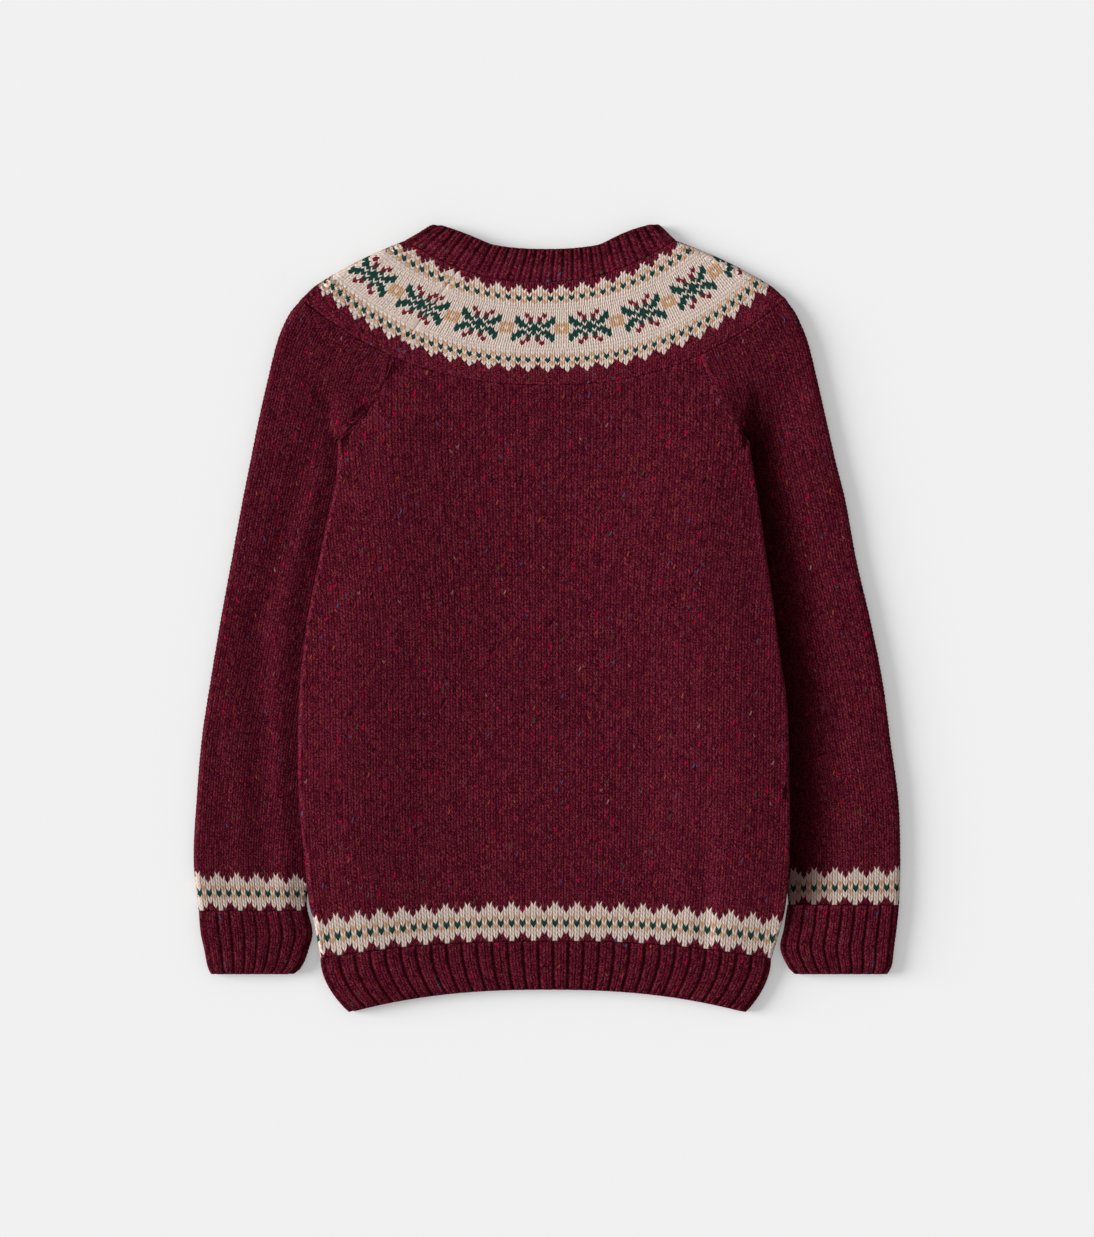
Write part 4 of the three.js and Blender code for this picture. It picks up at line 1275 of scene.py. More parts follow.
@dataclass
class RibRing(Tube, KnitPiece):
    """A ribbed ring: a flattened tube with ribs over its upper face and its folds.

    Attributes:
        ribs: Ribs across the upper face.
        per_rib: Columns for each of them.
        under_columns: Columns across the lower face.
        fade: Shares of the courses from the seam between which the ribs grow.
        end_round: How far the open edge is rounded down.
        fold_ribs: Ribs on the first fold, were there very many across.
        first_step: Ribs between the last column of that fold and the first on top.
        under_step: Ribs from column to column past the second edge.
        under_margin: Share of the width left to each fold on the lower face.
    """

    ribs: int = 8
    per_rib: int = 16
    under_columns: int = 24
    turns: tuple[float, ...] = tuple(np.linspace(70, -70, 9))
    ribbing: Ribbing = field(default_factory=Ribbing)
    fade: tuple[float, float] = (-0.15, 0.15)
    end_round: float = 0.7
    fold_ribs: float = 1.1
    first_step: float = 0.1
    under_step: float = 0.14
    closing_step: float = 0.2
    under_margin: float = 0.03
    fold_relief: float = 0.5

    def columns(self) -> int:
        """Points round the ring."""
        return self.ribs * self.per_rib + 1 + 2 * len(self.turns) + self.under_columns

    def shares(self) -> Array:
        """Shares across of the columns on the upper face."""
        return np.linspace(0, 1, self.ribs * self.per_rib + 1)

    def flipped(self) -> bool:
        """Whether the ring's first edge is its right one."""
        return False

    def place(self, course: Array) -> Array:
        """Places of the points, over the top from the first edge to the second and back underneath."""
        ordered = course[:, ::-1] if self.flipped() else course
        half = len(self.turns) // 2
        top_count = self.ribs * self.per_rib + 1
        bounds = np.cumsum([half, top_count, len(self.turns), self.under_columns])
        first, on_top, second, under, last = np.split(ordered, bounds, axis=1)
        turns = np.array(self.turns)
        under_shares = np.linspace(1 - self.under_margin, self.under_margin, self.under_columns)
        under_shares = np.broadcast_to(under_shares, under.shape)
        points = np.concatenate([
            self.fold(0, turns[:half][::-1], first),
            self.flat(Face.BACK, np.broadcast_to(self.shares(), on_top.shape), on_top),
            self.fold(1, turns, second),
            self.flat(Face.FRONT, under_shares, under),
            self.fold(0, turns[half:][::-1], last),
        ], axis=1)
        return points[:, ::-1] if self.flipped() else points

    def rib(self) -> Array:
        """Ribs across at each column: even over the top and on round the folds and underneath."""
        half = len(self.turns) // 2
        first = -np.linspace(self.fold_ribs * self.ribs / (self.ribs + 2), self.first_step, half)
        top = self.shares() * self.ribs
        rest = len(self.turns) + self.under_columns + len(self.turns) - half
        return np.concatenate([first, top, self.ribs + np.arange(1, rest + 1) * self.under_step])

    def wales(self, course: Array, points: Array) -> Array:
        """Stitches across, the same on every course."""
        wale = self.ribbing.wale(self.rib())
        wale = np.append(wale, wale[-1] + self.closing_step)
        return np.broadcast_to(wale[::-1] if self.flipped() else wale, (course.shape[0], wale.size))

    def relief(self, wale: Array, course: Array) -> tuple[Array, Array]:
        """Ribs with stitches on them, faint by the seam, with a rounded open edge."""
        relief, depth = super().relief(wale, course)
        ribs = self.ribbing.height(self.rib())
        strength = np.ones(self.columns())
        half = len(self.turns) // 2
        second = half + self.ribs * self.per_rib + 1
        strength[second: second + half] = self.fold_relief
        strength[second + half:] = 0
        if self.flipped():
            ribs, strength = ribs[::-1], strength[::-1]
        from_edge, from_seam = self.ends(course)
        grown = ease(from_seam, self.fade[0] * self.courses, self.fade[1] * self.courses)
        edge = self.end_round * bell(from_edge * RIB_COURSE_HEIGHT, RIB_EDGE_WIDTH)
        height = (self.ribbing.rise * (ribs - 1) + self.ribbing.over_base) * grown - edge
        # The painted shade of the ribs' grooves grows with the ribs.
        open_share = between(1, self.ribbing.openness(ribs), grown)
        return (height + relief * between(1, ribs, grown)) * strength, depth * open_share

    def ends(self, course: Array) -> tuple[Array, Array]:
        """Courses from the open edge and from the seam. The open edge is the first course."""
        return course, self.courses - course


@dataclass
class Cuff(RibRing):
    """A cuff: a ribbed ring that narrows to its open end. Its first edge is the inner one."""

    side: Side = LEFT

    def flipped(self) -> bool:
        """The left cuff's inner edge is its right one."""
        return self.side is LEFT

    def plan(self, face: Face, share: Array, course: Array) -> tuple[Array, Array]:
        """A level line between the cuff's two edges."""
        down = 1 - course / self.courses
        inner, outer = self.side.cuff_inner.at(down), self.side.cuff_outer.at(down)
        y = between(self.side.cuff_seam_y - LIE.seam / 2, self.side.cuff_edge_y, down)
        return self.side.sign * between(inner, outer, share), y

    def top(self, x: Array, y: Array) -> Array:
        """The sleeve's height at the seam, falling evenly to the open end."""
        down = (self.side.cuff_seam_y - y) / (self.side.cuff_seam_y - self.side.cuff_edge_y)
        at_seam = LIE.sleeve_top(self.side, x, np.full(np.shape(x), self.side.cuff_seam_y))
        return between(at_seam, 2 * LIE.wall + LIE.cuff_end_space, np.clip(down, 0, 1))

    def cut(self) -> tuple[float, float, float]:
        """The cuff's round at its seam, its length, and the area all round."""
        down = np.linspace(0, 1, 50)
        width = 2 * (self.side.cuff_outer.at(down) - self.side.cuff_inner.at(down))
        length = self.side.cuff_seam_y - self.side.cuff_edge_y
        return float(width.max() * MM), float(length * MM), float(width.mean() * length * MM * MM)


@dataclass(frozen=True)
class NeckLine:
    """A curve round the neck on one layer, lowest in the middle.

    Attributes:
        left: Distance of its left end from the middle line, and so on for the right one.
        y: Height up the garment of both ends.
        back: Height of its middle on the back, and so on for the front.
        bend: The power by which it rises from its middle to its ends.
        fill: How much fuller it is beside its left and its right end.
        tip: How much lower the very ends are.
        fill_from: Share of the way from the middle to an end at which the fuller part starts.
        tip_from: And that at which the lower tip does.
    """

    left: float
    right: float
    y: float
    back: float
    front: float
    bend: float
    fill: tuple[float, float] = (0.0, 0.0)
    tip: float = 0.0
    fill_from: float = 0.48
    tip_from: float = 0.9

    def at(self, face: Face, share: Array) -> tuple[Array, Array]:
        """A place on the curve: across evenly, and up as a power of the distance from the middle."""
        signed = share * 2 - 1
        low = self.back if face is Face.BACK else self.front
        x = (self.right - self.left) / 2 + (self.right + self.left) / 2 * signed
        past = (np.abs(signed) - self.fill_from) / (1 - self.fill_from)
        near_fold = np.sin(np.pi * np.clip(past, 0, 1))
        filled = np.where(signed < 0, self.fill[0], self.fill[1]) * near_fold
        tip = self.tip * ease(np.abs(signed), self.tip_from, 1)
        return x, low + (self.y - low) * np.abs(signed) ** self.bend + filled - tip


NECK_SEAM = NeckLine(LEFT.neck_seam_x, RIGHT.neck_seam_x, 264.6, 234.6, 206.9, 2.1)
NECK_EDGE = NeckLine(LEFT.neck_edge_x, RIGHT.neck_edge_x, 277, 258.2, 233.5, 2.4, (2.6, 3.8), 1.3)


@dataclass
class Neckband(RibRing):
    """The neckband: a ribbed ring from the neck seam to its open edge.

    Attributes:
        fullness: Its round as cut, over that in which it lies.
    """

    fullness: float = 1.12
    height: float = 27.0
    mean_height: float = 24.0

    def plan(self, face: Face, share: Array, course: Array) -> tuple[Array, Array]:
        """Between the neck seam and the neck's edge. The open edge is the last course."""
        up = course / self.courses
        seam_x, seam_y = NECK_SEAM.at(face, share)
        edge_x, edge_y = NECK_EDGE.at(face, share)
        return between(seam_x, edge_x, up), between(seam_y + LIE.seam / 2, edge_y, up)

    def top(self, x: Array, y: Array) -> Array:
        """Two walls and the space between them."""
        return np.full(np.shape(x), 2 * LIE.wall + LIE.body_space)

    def ends(self, course: Array) -> tuple[Array, Array]:
        """Courses from the open edge and from the seam."""
        return self.courses - course, course

    def cut(self) -> tuple[float, float, float]:
        """The neck seam's whole round, the band's height and the area all round."""
        share = np.linspace(0, 1, 200)
        lines = (NECK_SEAM, NECK_EDGE)
        length = sum(round_along(*line.at(face, share)) / 2 for line in lines for face in Face)
        return length * self.fullness * MM, self.height * MM, length * self.mean_height * MM * MM


@dataclass
class Yoke(Tube, KnitPiece):
    """The patterned yoke: a band round the shoulders, sewn up at the left of the back.

    Stars stand in its middle between two dotted borders. Each of the three has its own number of
    stitches, because the yoke narrows to the neck.

    Attributes:
        seam_share: Where its own seam is across the back.
        back_columns: Columns over the back.
        front_columns: Columns over the front.
        middle_course: Course in the middle of the stars.
        zones: The last course of the lower border and of the stars.
        pitches: Width of a stitch in the lower border, the stars and the upper border.
        starts: Distance from the middle line of a point or a star's middle in each of them.
        spread: How much the wales spread apart up the yoke, to stand square to the courses.
        lean: Stitches that the wales lean over for each course, right and left of the seam.
        step_over: Stitches by which the pattern steps at the seam.
        dip_columns: Columns of the folds on which the dip of the lower seam goes on.
        zone_fade: Courses from where two zones meet, between which the stitches' lean comes back.
        border_from: Courses from the middle of the stars to the borders.
    """

    seam_share: float = 0.187
    back_columns: int = 600
    front_columns: int = 150
    turns: tuple[float, ...] = tuple(np.linspace(80, -80, 13))
    near: float = 0.0093
    middle_course: int = 16
    zones: tuple[float, float] = (10.5, 22.5)
    pitches: tuple[float, float, float] = (3.45, 3.255, 3.71)
    starts: tuple[float, float, float] = (-13.3, -9.1, -4.9)
    spread: float = 0.42
    lean: tuple[float, float] = (0.1, 0.04)
    step_over: float = 1.2
    bulge: float = 3
    bulge_power: float = 6
    dip: float = 0.3
    dip_columns: int = 4
    own_dip_width: float = 1.6
    column_width: float = 0.5
    course_width: float = 2.4
    zone_fade: tuple[float, float] = (0.2, 1.6)
    fold_relief: float = 0.3
    border_from: int = 8
    height: float = 86.0
    mean_height: float = 66.0

    def plan(self, face: Face, share: Array, course: Array) -> tuple[Array, Array]:
        """Between the seam under the yoke and the neck seam, with a bulge near the shoulders."""
        up = course / self.courses
        low = between(-LEFT.shoulder_x, RIGHT.shoulder_x, share)
        neck_x, neck_y = NECK_SEAM.at(face, share)
        bulge = self.bulge * np.sin(np.pi * up) * np.abs(share * 2 - 1) ** self.bulge_power
        low_y = LIE.yoke_seam(face, low) + LIE.seam / 2
        return between(low, neck_x, up), between(low_y, neck_y - LIE.seam / 2, up) + bulge

    def top(self, x: Array, y: Array) -> Array:
        """Two walls and the space between them."""
        return np.full(np.shape(x), 2 * LIE.wall + LIE.body_space)

    def even_shares(self, face: Face, count: int) -> Array:
        """Shares across that lie evenly along the middle course of a face."""
        share = np.linspace(0, 1, 2001)
        x, y = self.plan(face, share, np.full(share.shape, self.courses / 2))
        along = np.concatenate([[0], np.cumsum(np.hypot(np.diff(x), np.diff(y)))])
        return np.interp(np.linspace(0, along[-1], count), along, share)

    def counts(self) -> tuple[int, int]:
        """Columns of the back to the right and to the left of the yoke's own seam."""
        left = int(np.searchsorted(self.even_shares(Face.BACK, self.back_columns), self.seam_share))
        return self.back_columns - left, left

    def columns(self) -> int:
        """Points round the yoke, with one of each side of its own seam."""
        return self.back_columns + 1 + 2 * len(self.turns) + self.front_columns

    def place(self, course: Array) -> Array:
        """Places of the points, from the yoke's own seam to the right and all the way round."""
        right, left = self.counts()
        bounds = np.cumsum([right, len(self.turns), self.front_columns, len(self.turns)])
        first, fold_right, under, fold_left, last = np.split(course, bounds, axis=1)
        shares = self.even_shares(Face.BACK, self.back_columns)
        seam = np.full(1, (shares[left] + shares[left - 1]) / 2)
        turns = np.array(self.turns)
        front = self.even_shares(Face.FRONT, self.front_columns)[::-1]
        gap = LIE.seam / 2 / (LEFT.shoulder_x + RIGHT.shoulder_x)
        right_shares = np.concatenate([seam + gap, shares[left + 1:]])
        left_shares = np.concatenate([shares[:left], seam - gap])
        points = np.concatenate([
            self.flat(Face.BACK, np.broadcast_to(right_shares, first.shape), first),
            self.fold(1, turns, fold_right),
            self.flat(Face.FRONT, np.broadcast_to(front, under.shape), under),
            self.fold(0, -turns, fold_left),
            self.flat(Face.BACK, np.broadcast_to(left_shares, last.shape), last),
        ], axis=1)
        points[..., 2] -= self.dip * self.dips(course, first.shape[1], last.shape[1])
        return soften_shoulders(points)

    def dips(self, course: Array, right: int, left: int) -> Array:
        """Depth of the dips along the yoke's own seam and the one under it, as a share.

        Args:
            course: The course of each point.
            right: Columns to the right of its own seam.
            left: Columns to the left of it.

        Returns:
            A bell by the distance from each seam.
        """
        dip = np.zeros(course.shape)
        dip[:, :right] += bell(np.arange(right) * self.column_width, self.own_dip_width)
        dip[:, -left:] += bell(np.arange(left)[::-1] * self.column_width, self.own_dip_width)
        on_back = np.ones(course.shape[1], dtype=bool)
        on_back[right + self.dip_columns: -left - self.dip_columns] = False
        return dip + bell(course * self.course_width, YOKE_DIP_WIDTH) * on_back

    def wales(self, course: Array, points: Array) -> Array:
        """Distance along the course from a point or star near the middle, in stitches.

        The stitches of each zone have a width of their own. The wales spread apart up the yoke and
        lean to the right, and the part left of the seam is counted back from the middle.

        Args:
            course: The course of each point.
            points: Their places.

        Returns:
            Stitches across at each point.
        """
        right, _ = self.counts()
        steps = np.linalg.norm(np.diff(points, axis=1), axis=2)
        along = np.concatenate([np.zeros((len(steps), 1)), np.cumsum(steps, axis=1)], axis=1)
        past_front = right + len(self.turns) + self.front_columns + len(self.turns) // 2
        number = np.arange(self.columns())
        is_left = number >= past_front
        along = along - np.where(is_left, along[:, -1:], 0)
        zone = (course > self.zones[0]).astype(int) + (course > self.zones[1]).astype(int)
        start_x = np.array(self.starts)[zone[:, 0]]
        rows = zip(start_x, points[:, :right, 0], along[:, :right])
        middle = np.array([np.interp(*row) for row in rows])[:, None]
        up = (course - self.middle_course) / self.courses
        lean = np.where(is_left, self.lean[1], self.lean[0])
        square = 1 + self.spread * np.where(zone == 1, up, 0)
        wale = (along - middle) / np.array(self.pitches)[zone] * square + 0.5
        wale = wale - lean * np.where(zone == 1, course - self.middle_course, 0)
        return wale + np.where(is_left, self.step_over, 0)

    def lean_share(self, course: Array) -> Array:
        """How much of the stitches' lean shows: none at the ends and where the zones meet."""
        share = super().lean_share(course)
        for zone in self.zones:
            share = share * ease(np.abs(course - zone), *self.zone_fade)
        return share

    def yarns(self, wale: Array, course: Array) -> Array:
        """Stars in the middle, oatmeal round them, a border on each side, and wine under it all."""
        row = np.floor(course).astype(int) - self.middle_course
        column = np.floor(wale).astype(int)
        away = np.abs(row)
        star_end, star_side = STAR_CHART.shape[0] - 1, STAR_CHART.shape[1] - 2
        from_middle = np.abs((column + star_side) % (2 * star_side + 2) - star_side)
        star = STAR_CHART[np.minimum(away, star_end), from_middle]
        border_end, border_repeat = BORDER_CHART.shape[0] - 1, BORDER_CHART.shape[1]
        border = BORDER_CHART[np.clip(away - self.border_from, 0, border_end), column % border_repeat]
        yarn = np.where(away >= self.border_from, border, Yarn.OATMEAL.value)
        yarn = np.where(away <= star_end, star, yarn)
        return np.where(away > self.border_from + border_end, Yarn.WINE.value, yarn)

    def relief(self, wale: Array, course: Array) -> tuple[Array, Array]:
        """Stitches in relief on the back, none underneath."""
        relief, depth = super().relief(wale, course)
        right, left = self.counts()
        strength = np.zeros(self.columns())
        strength[:right] = 1
        strength[-left - 1:] = 1
        half = len(self.turns) // 2
        strength[right: right + half] = np.linspace(1, self.fold_relief, half)
        strength[-left - 1 - half: -left - 1] = np.linspace(self.fold_relief, 1, half)
        return relief * strength, depth

    def cut(self) -> tuple[float, float, float]:
        """The whole round of the seam under the yoke, its height, and the area of both its faces."""
        share = np.linspace(0, 1, 400)
        low, high = (
            sum(round_along(*self.plan(face, share, np.full(share.shape, float(up)))) for face in Face)
            for up in (0, self.courses)
        )
        return low * MM, self.height * MM, (low + high) / 2 * self.mean_height * MM * MM


def linear(red: int, green: int, blue: int) -> tuple[float, float, float]:
    """Turns a colour of the screen, each part from 0 to 255, into light: a power of about 2.4."""
    parts = np.array([red, green, blue]) / 255
    light = np.where(parts <= 0.04045, parts / 12.92, ((parts + 0.055) / 1.055) ** 2.4)
    return tuple(float(part) for part in light)


class Wire:
    """A socket of a material, or a number, on which sums add Math nodes."""

    def __init__(self, nodes: "Nodes", source: bpy.types.NodeSocket | float) -> None:
        """Keeps the node tree and the socket or number."""
        self.nodes = nodes
        self.source = source

    def _sum(self, operation: str, *others: "Wire | float") -> "Wire":
        """Adds a Math node of this and the others."""
        return self.nodes.make("ShaderNodeMath", {"operation": operation}, dict(enumerate((self, *others))))

    def __add__(self, other: "Wire | float") -> "Wire":
        """This and the other."""
        return self._sum("ADD", other)

    __radd__ = __add__

    def __sub__(self, other: "Wire | float") -> "Wire":
        """This less the other."""
        return self._sum("SUBTRACT", other)

    def __rsub__(self, other: "Wire | float") -> "Wire":
        """The other less this."""
        return Wire(self.nodes, other)._sum("SUBTRACT", self)

    def __mul__(self, other: "Wire | float") -> "Wire":
        """This times the other."""
        return self._sum("MULTIPLY", other)

    __rmul__ = __mul__

    def __lt__(self, other: "Wire | float") -> "Wire":
        """1 where this is less than the other, and 0 elsewhere."""
        return self._sum("LESS_THAN", other)

    def floor(self) -> "Wire":
        """The whole number at or below this."""
        return self._sum("FLOOR")

    def fraction(self) -> "Wire":
        """What is left of this over the whole number below it."""
        return self._sum("FRACT")

    def sine(self) -> "Wire":
        """The sine of this, in radians."""
        return self._sum("SINE")


class Nodes:
    """A material's node tree, with one method that makes any node."""

    def __init__(self, material: bpy.types.Material) -> None:
        """Empties the material's tree and keeps it."""
        material.use_nodes = True
        self.tree = material.node_tree
        self.tree.nodes.clear()

    def make(
        self, kind: str, settings: dict | None = None, inputs: dict | None = None, output: int | str = 0
    ) -> Wire:
        """Makes a node.

        Args:
            kind: The node's type.
            settings: Its own settings, which are set first. "stops" are a ramp's places and colours.
            inputs: Values or wires for its sockets, by name or number.
            output: The socket to give back, by name or number.

        Returns:
            The wire from that socket.
        """
        node = self.tree.nodes.new(kind)
        for name, value in (settings or {}).items():
            if name == "stops":
                self.set_stops(node.color_ramp, value)
            elif name == "interpolation":
                node.color_ramp.interpolation = value
            else:
                setattr(node, name, value)
        for name, value in (inputs or {}).items():
            source = value.source if isinstance(value, Wire) else value
            if isinstance(source, bpy.types.NodeSocket):
                self.tree.links.new(source, node.inputs[name])
            else:
                node.inputs[name].default_value = source
        return Wire(self, node.outputs[output] if node.outputs else 0.0)

    def set_stops(self, ramp: bpy.types.ColorRamp, stops: list) -> None:
        """Gives a ramp its places and colours."""
        while len(ramp.elements) < len(stops):
            ramp.elements.new(0.5)
        for element, (place, colour) in zip(ramp.elements, stops):
            element.position = place
            element.color = (*colour, 1.0)

    def part(self, source: Wire, letter: str) -> Wire:
        """The part of a place or a colour along X, Y or Z."""
        return self.make("ShaderNodeSeparateXYZ", {}, {0: source}, letter)

    def noise(self, place: Wire, scale: float, detail: float) -> Wire:
        """Cloudy noise, with so many clouds to a metre."""
        inputs = {"Vector": place, "Scale": scale, "Detail": detail}
        return self.make("ShaderNodeTexNoise", {}, inputs, 0)

    def mix(
        self, share: Wire | float, first: Wire | tuple, second: Wire | tuple, blend: str = "MIX"
    ) -> Wire:
        """A colour between two others, or one blended with another."""
        colours = [value if isinstance(value, Wire) else (*value, 1.0) for value in (first, second)]
        inputs = {0: share, 6: colours[0], 7: colours[1]}
        return self.make("ShaderNodeMix", {"data_type": "RGBA", "blend_type": blend}, inputs, 2)


@dataclass(frozen=True)
class Fleck:
    """A kind of fleck in the tweed.

    Attributes:
        share: How many of the legs have one.
        width: Its half width, as a share of a leg's width.
        length: Its half length, in courses.
        strength: How much it covers the wool.
        seed: Moves the random numbers.
        dyes: Its colours, each from a place between 0 and 1 up to the next one's.
        across: Where its middle may be across a stitch: the least, and the width of the rest.
        along: Where it may be along it, likewise.
        edge: How soft its edge is: what the middle is over, and how much it is raised.
    """

    share: float
    width: float
    length: float
    strength: float
    seed: float
    dyes: tuple[tuple[float, tuple[int, int, int]], ...]
    across: tuple[float, float] = (0.2, 0.6)
    along: tuple[float, float] = (0.3, 0.4)
    edge: tuple[float, float] = (0.6, 1.8)


@dataclass(frozen=True)
class Wool:
    """Woollen yarns: a wine tweed with flecks, and plain ones for the pattern.

    Attributes:
        wine: The tweed's middle colour, for the palette.
        cool: Its bluish fibres, dark, middling and bright.
        warm: Its rusty fibres, dark, middling and bright.
        dye_places: Brightness at which the dark, middling and bright fibres are.
        tint_share: How much of the brightness is a leg's own tint.
        shade: Brightness of the wool, and how much a leg's tint and the fibres add.
        groove: What is left of each colour under full painted shade: in a groove, where it also stands for
            the darker gaps between the yarns, in a painted hollow, on a side wall and on an inner face.
        bump: Strength and depth in metres of the fibres' bump.
        hairs: Share of the hairs and of the twist in it.
        flecks: The kinds of fleck in the tweed.
    """

    wine: tuple[int, int, int] = (96, 19, 35)
    cool: tuple[tuple[int, int, int], ...] = ((52, 9, 29), (95, 15, 44), (128, 40, 70))
    warm: tuple[tuple[int, int, int], ...] = ((54, 10, 19), (99, 27, 36), (134, 60, 58))
    oatmeal: tuple[int, int, int] = (226, 207, 195)
    gold: tuple[int, int, int] = (207, 163, 124)
    green: tuple[int, int, int] = (32, 68, 62)
    berry: tuple[int, int, int] = (128, 34, 50)
    roughness: float = 0.95
    specular: float = 0.01
    tweed_in_berry: float = 0.25
    dye_places: tuple[float, float, float] = (0.36, 0.5, 0.66)
    fibre_scale: float = 1050.0
    hue_scale: float = 760.0
    hair_scale: float = 1500.0
    tint_share: float = 0.1
    hue_contrast: float = 3.0
    shade: tuple[float, float, float] = (0.86, 0.08, 0.2)
    # Colour multiplier of full painted shade.
    groove: tuple[float, float, float] = (0.13, 0.08, 0.08)
    groove_reach: float = 1.2
    bump: tuple[float, float] = (0.55, 0.0006)
    hairs: tuple[float, float] = (0.5, 0.06)
    twists: tuple[float, float] = (4, 3)
    flecks: tuple[Fleck, ...] = (
        Fleck(0.17, 0.26, 0.3, 0.35, 11.0, (
            (0.0, (134, 54, 46)), (0.45, (104, 60, 66)), (0.65, (132, 12, 50)), (0.85, (44, 30, 36)))),
        Fleck(0.030, 0.28, 0.36, 0.75, 53.0, (
            (0.0, (182, 8, 62)), (0.5, (152, 16, 40)), (0.8, (30, 8, 16)))),
        Fleck(0.024, 0.25, 0.33, 0.6, 97.0, (
            (0.0, (76, 76, 112)), (0.36, (158, 70, 52)), (0.66, (54, 76, 46)), (0.84, (160, 112, 104)))),
    )

    def palette(self) -> Array:
        """Colour of each yarn, with its share of tweed as the fourth number."""
        plain = (self.oatmeal, self.gold, self.green)
        rows = [(self.wine, 1.0), *((colour, 0.0) for colour in plain), (self.berry, self.tweed_in_berry)]
        return np.array([[*linear(*colour), tweed] for colour, tweed in rows])

    def material(self) -> bpy.types.Material:
        """The material of every piece, made once."""
        name = "wool"
        if name in bpy.data.materials:
            return bpy.data.materials[name]
        material = bpy.data.materials.new(name)
        nodes = Nodes(material)
        place = nodes.make("ShaderNodeTexCoord", output="Object")
        colour, fibres = self.colour(nodes, place)
        strength, distance = self.bump
        bump = nodes.make("ShaderNodeBump", {}, {
            "Strength": strength, "Distance": distance, "Height": self.fuzz(nodes, place, fibres)})
        shader = nodes.make("ShaderNodeBsdfPrincipled", {}, {
            "Base Color": colour, "Roughness": self.roughness, "Normal": bump,
            "Specular IOR Level": self.specular})
        nodes.make("ShaderNodeOutputMaterial", {}, {"Surface": shader})
        return material

    def colour(self, nodes: Nodes, place: Wire) -> tuple[Wire, Wire]:
        """The colour of the yarns: each leg of its own tint, fibres, flecks, and painted shade by the depth
        attribute, which in the grooves also stands for the darker gaps between the yarns.

        Args:
            nodes: The material's tree.
            place: Object coordinates.

        Returns:
            The colour, and the noise of the fibres.
        """
        yarn = nodes.make("ShaderNodeAttribute", {"attribute_name": "yarn"}, output="Color")
        tweed = nodes.make("ShaderNodeAttribute", {"attribute_name": "yarn"}, output="Alpha")
        open_share = nodes.make("ShaderNodeAttribute", {"attribute_name": "depth"}, output="Fac")
        stitch = nodes.make("ShaderNodeUVMap", {"uv_map": "stitch"})
        wale, course = nodes.part(stitch, "X"), nodes.part(stitch, "Y")
        leg = nodes.make("ShaderNodeCombineXYZ", {}, {0: (wale * 2).floor(), 1: course.floor()})
        tint = nodes.make("ShaderNodeTexWhiteNoise", {"noise_dimensions": "2D"}, {"Vector": leg}, "Value")
        fibres = nodes.noise(place, self.fibre_scale, 2.0)
        hues = nodes.noise(place, self.hue_scale, 1.0)
        bright = fibres * (1 - self.tint_share) + tint * self.tint_share
        cool, warm = (
            nodes.make("ShaderNodeValToRGB", {"stops": [
                (at, linear(*dye)) for at, dye in zip(self.dye_places, dyes)]}, {0: bright})
            for dyes in (self.cool, self.warm)
        )
        heather = nodes.mix((hues - 0.5) * self.hue_contrast + 0.5, cool, warm)
        wool = nodes.mix(tweed, yarn, heather)
        base, by_tint, by_fibres = self.shade
        shade = base + tint * by_tint + fibres * by_fibres
        grey = nodes.make("ShaderNodeCombineXYZ", {}, {0: shade, 1: shade, 2: shade})
        wool = nodes.mix(1.0, wool, grey, "MULTIPLY")
        loop = nodes.make("ShaderNodeCombineXYZ", {}, {0: wale.floor(), 1: course.floor()})
        across, along = wale.fraction(), course.fraction()
        for fleck in self.flecks:
            wool = self.flecked(nodes, wool, tweed, loop, (across, along), fleck)
        # Painted shade: the colour is darkened towards groove where the depth attribute is low.
        dark = nodes.mix(1.0, wool, self.groove, "MULTIPLY")
        return nodes.mix(open_share * self.groove_reach, dark, wool), fibres

    def flecked(
        self, nodes: Nodes, wool: Wire, tweed: Wire, loop: Wire, inside: tuple[Wire, Wire], fleck: Fleck
    ) -> Wire:
        """Lays flecks of one kind over the wool: an oval along the yarn, on some of the stitches.

        Args:
            nodes: The material's tree.
            wool: The colour under them.
            tweed: Where the tweed is.
            loop: The number of the stitch, across and up.
            inside: The place in the stitch, across and along it.
            fleck: The kind of fleck.

        Returns:
            The colour with flecks.
        """
        cell = nodes.make("ShaderNodeVectorMath", {"operation": "MULTIPLY_ADD"}, {
            0: loop, 1: (1.0, 1.0, 0.0), 2: (fleck.seed, fleck.seed * 0.37, 0.0)})
        whole = nodes.make("ShaderNodeVectorMath", {"operation": "FLOOR"}, {0: cell})
        noise = nodes.make("ShaderNodeTexWhiteNoise", {"noise_dimensions": "2D"}, {"Vector": whole}, "Color")
        chance, size, hue = (nodes.part(noise, letter) for letter in "XYZ")
        side = inside[0] - fleck.across[0] - size * fleck.across[1]
        end = inside[1] - fleck.along[0] - hue * fleck.along[1]
        oval = side * side * (1 / fleck.width**2) + end * end * (1 / fleck.length**2)
        shown = (chance < fleck.share) * (fleck.edge[0] + size - oval) * tweed * fleck.edge[1]
        dye = nodes.make("ShaderNodeValToRGB", {"interpolation": "CONSTANT", "stops": [
            (place, linear(*colour)) for place, colour in fleck.dyes]}, {0: hue})
        return nodes.mix(shown * fleck.strength, wool, dye)

    def fuzz(self, nodes: Nodes, place: Wire, fibres: Wire) -> Wire:
        """Height of the yarn's twist and fibres: slanted lines on each leg, and fine noise."""
        stitch = nodes.make("ShaderNodeUVMap", {"uv_map": "stitch"})
        wale, course = nodes.part(stitch, "X"), nodes.part(stitch, "Y")
        twist = ((wale * self.twists[0] + course * self.twists[1]) * (2 * math.pi)).sine()
        hairs = nodes.noise(place, self.hair_scale, 2.0)
        return fibres + hairs * self.hairs[0] + twist * self.hairs[1]


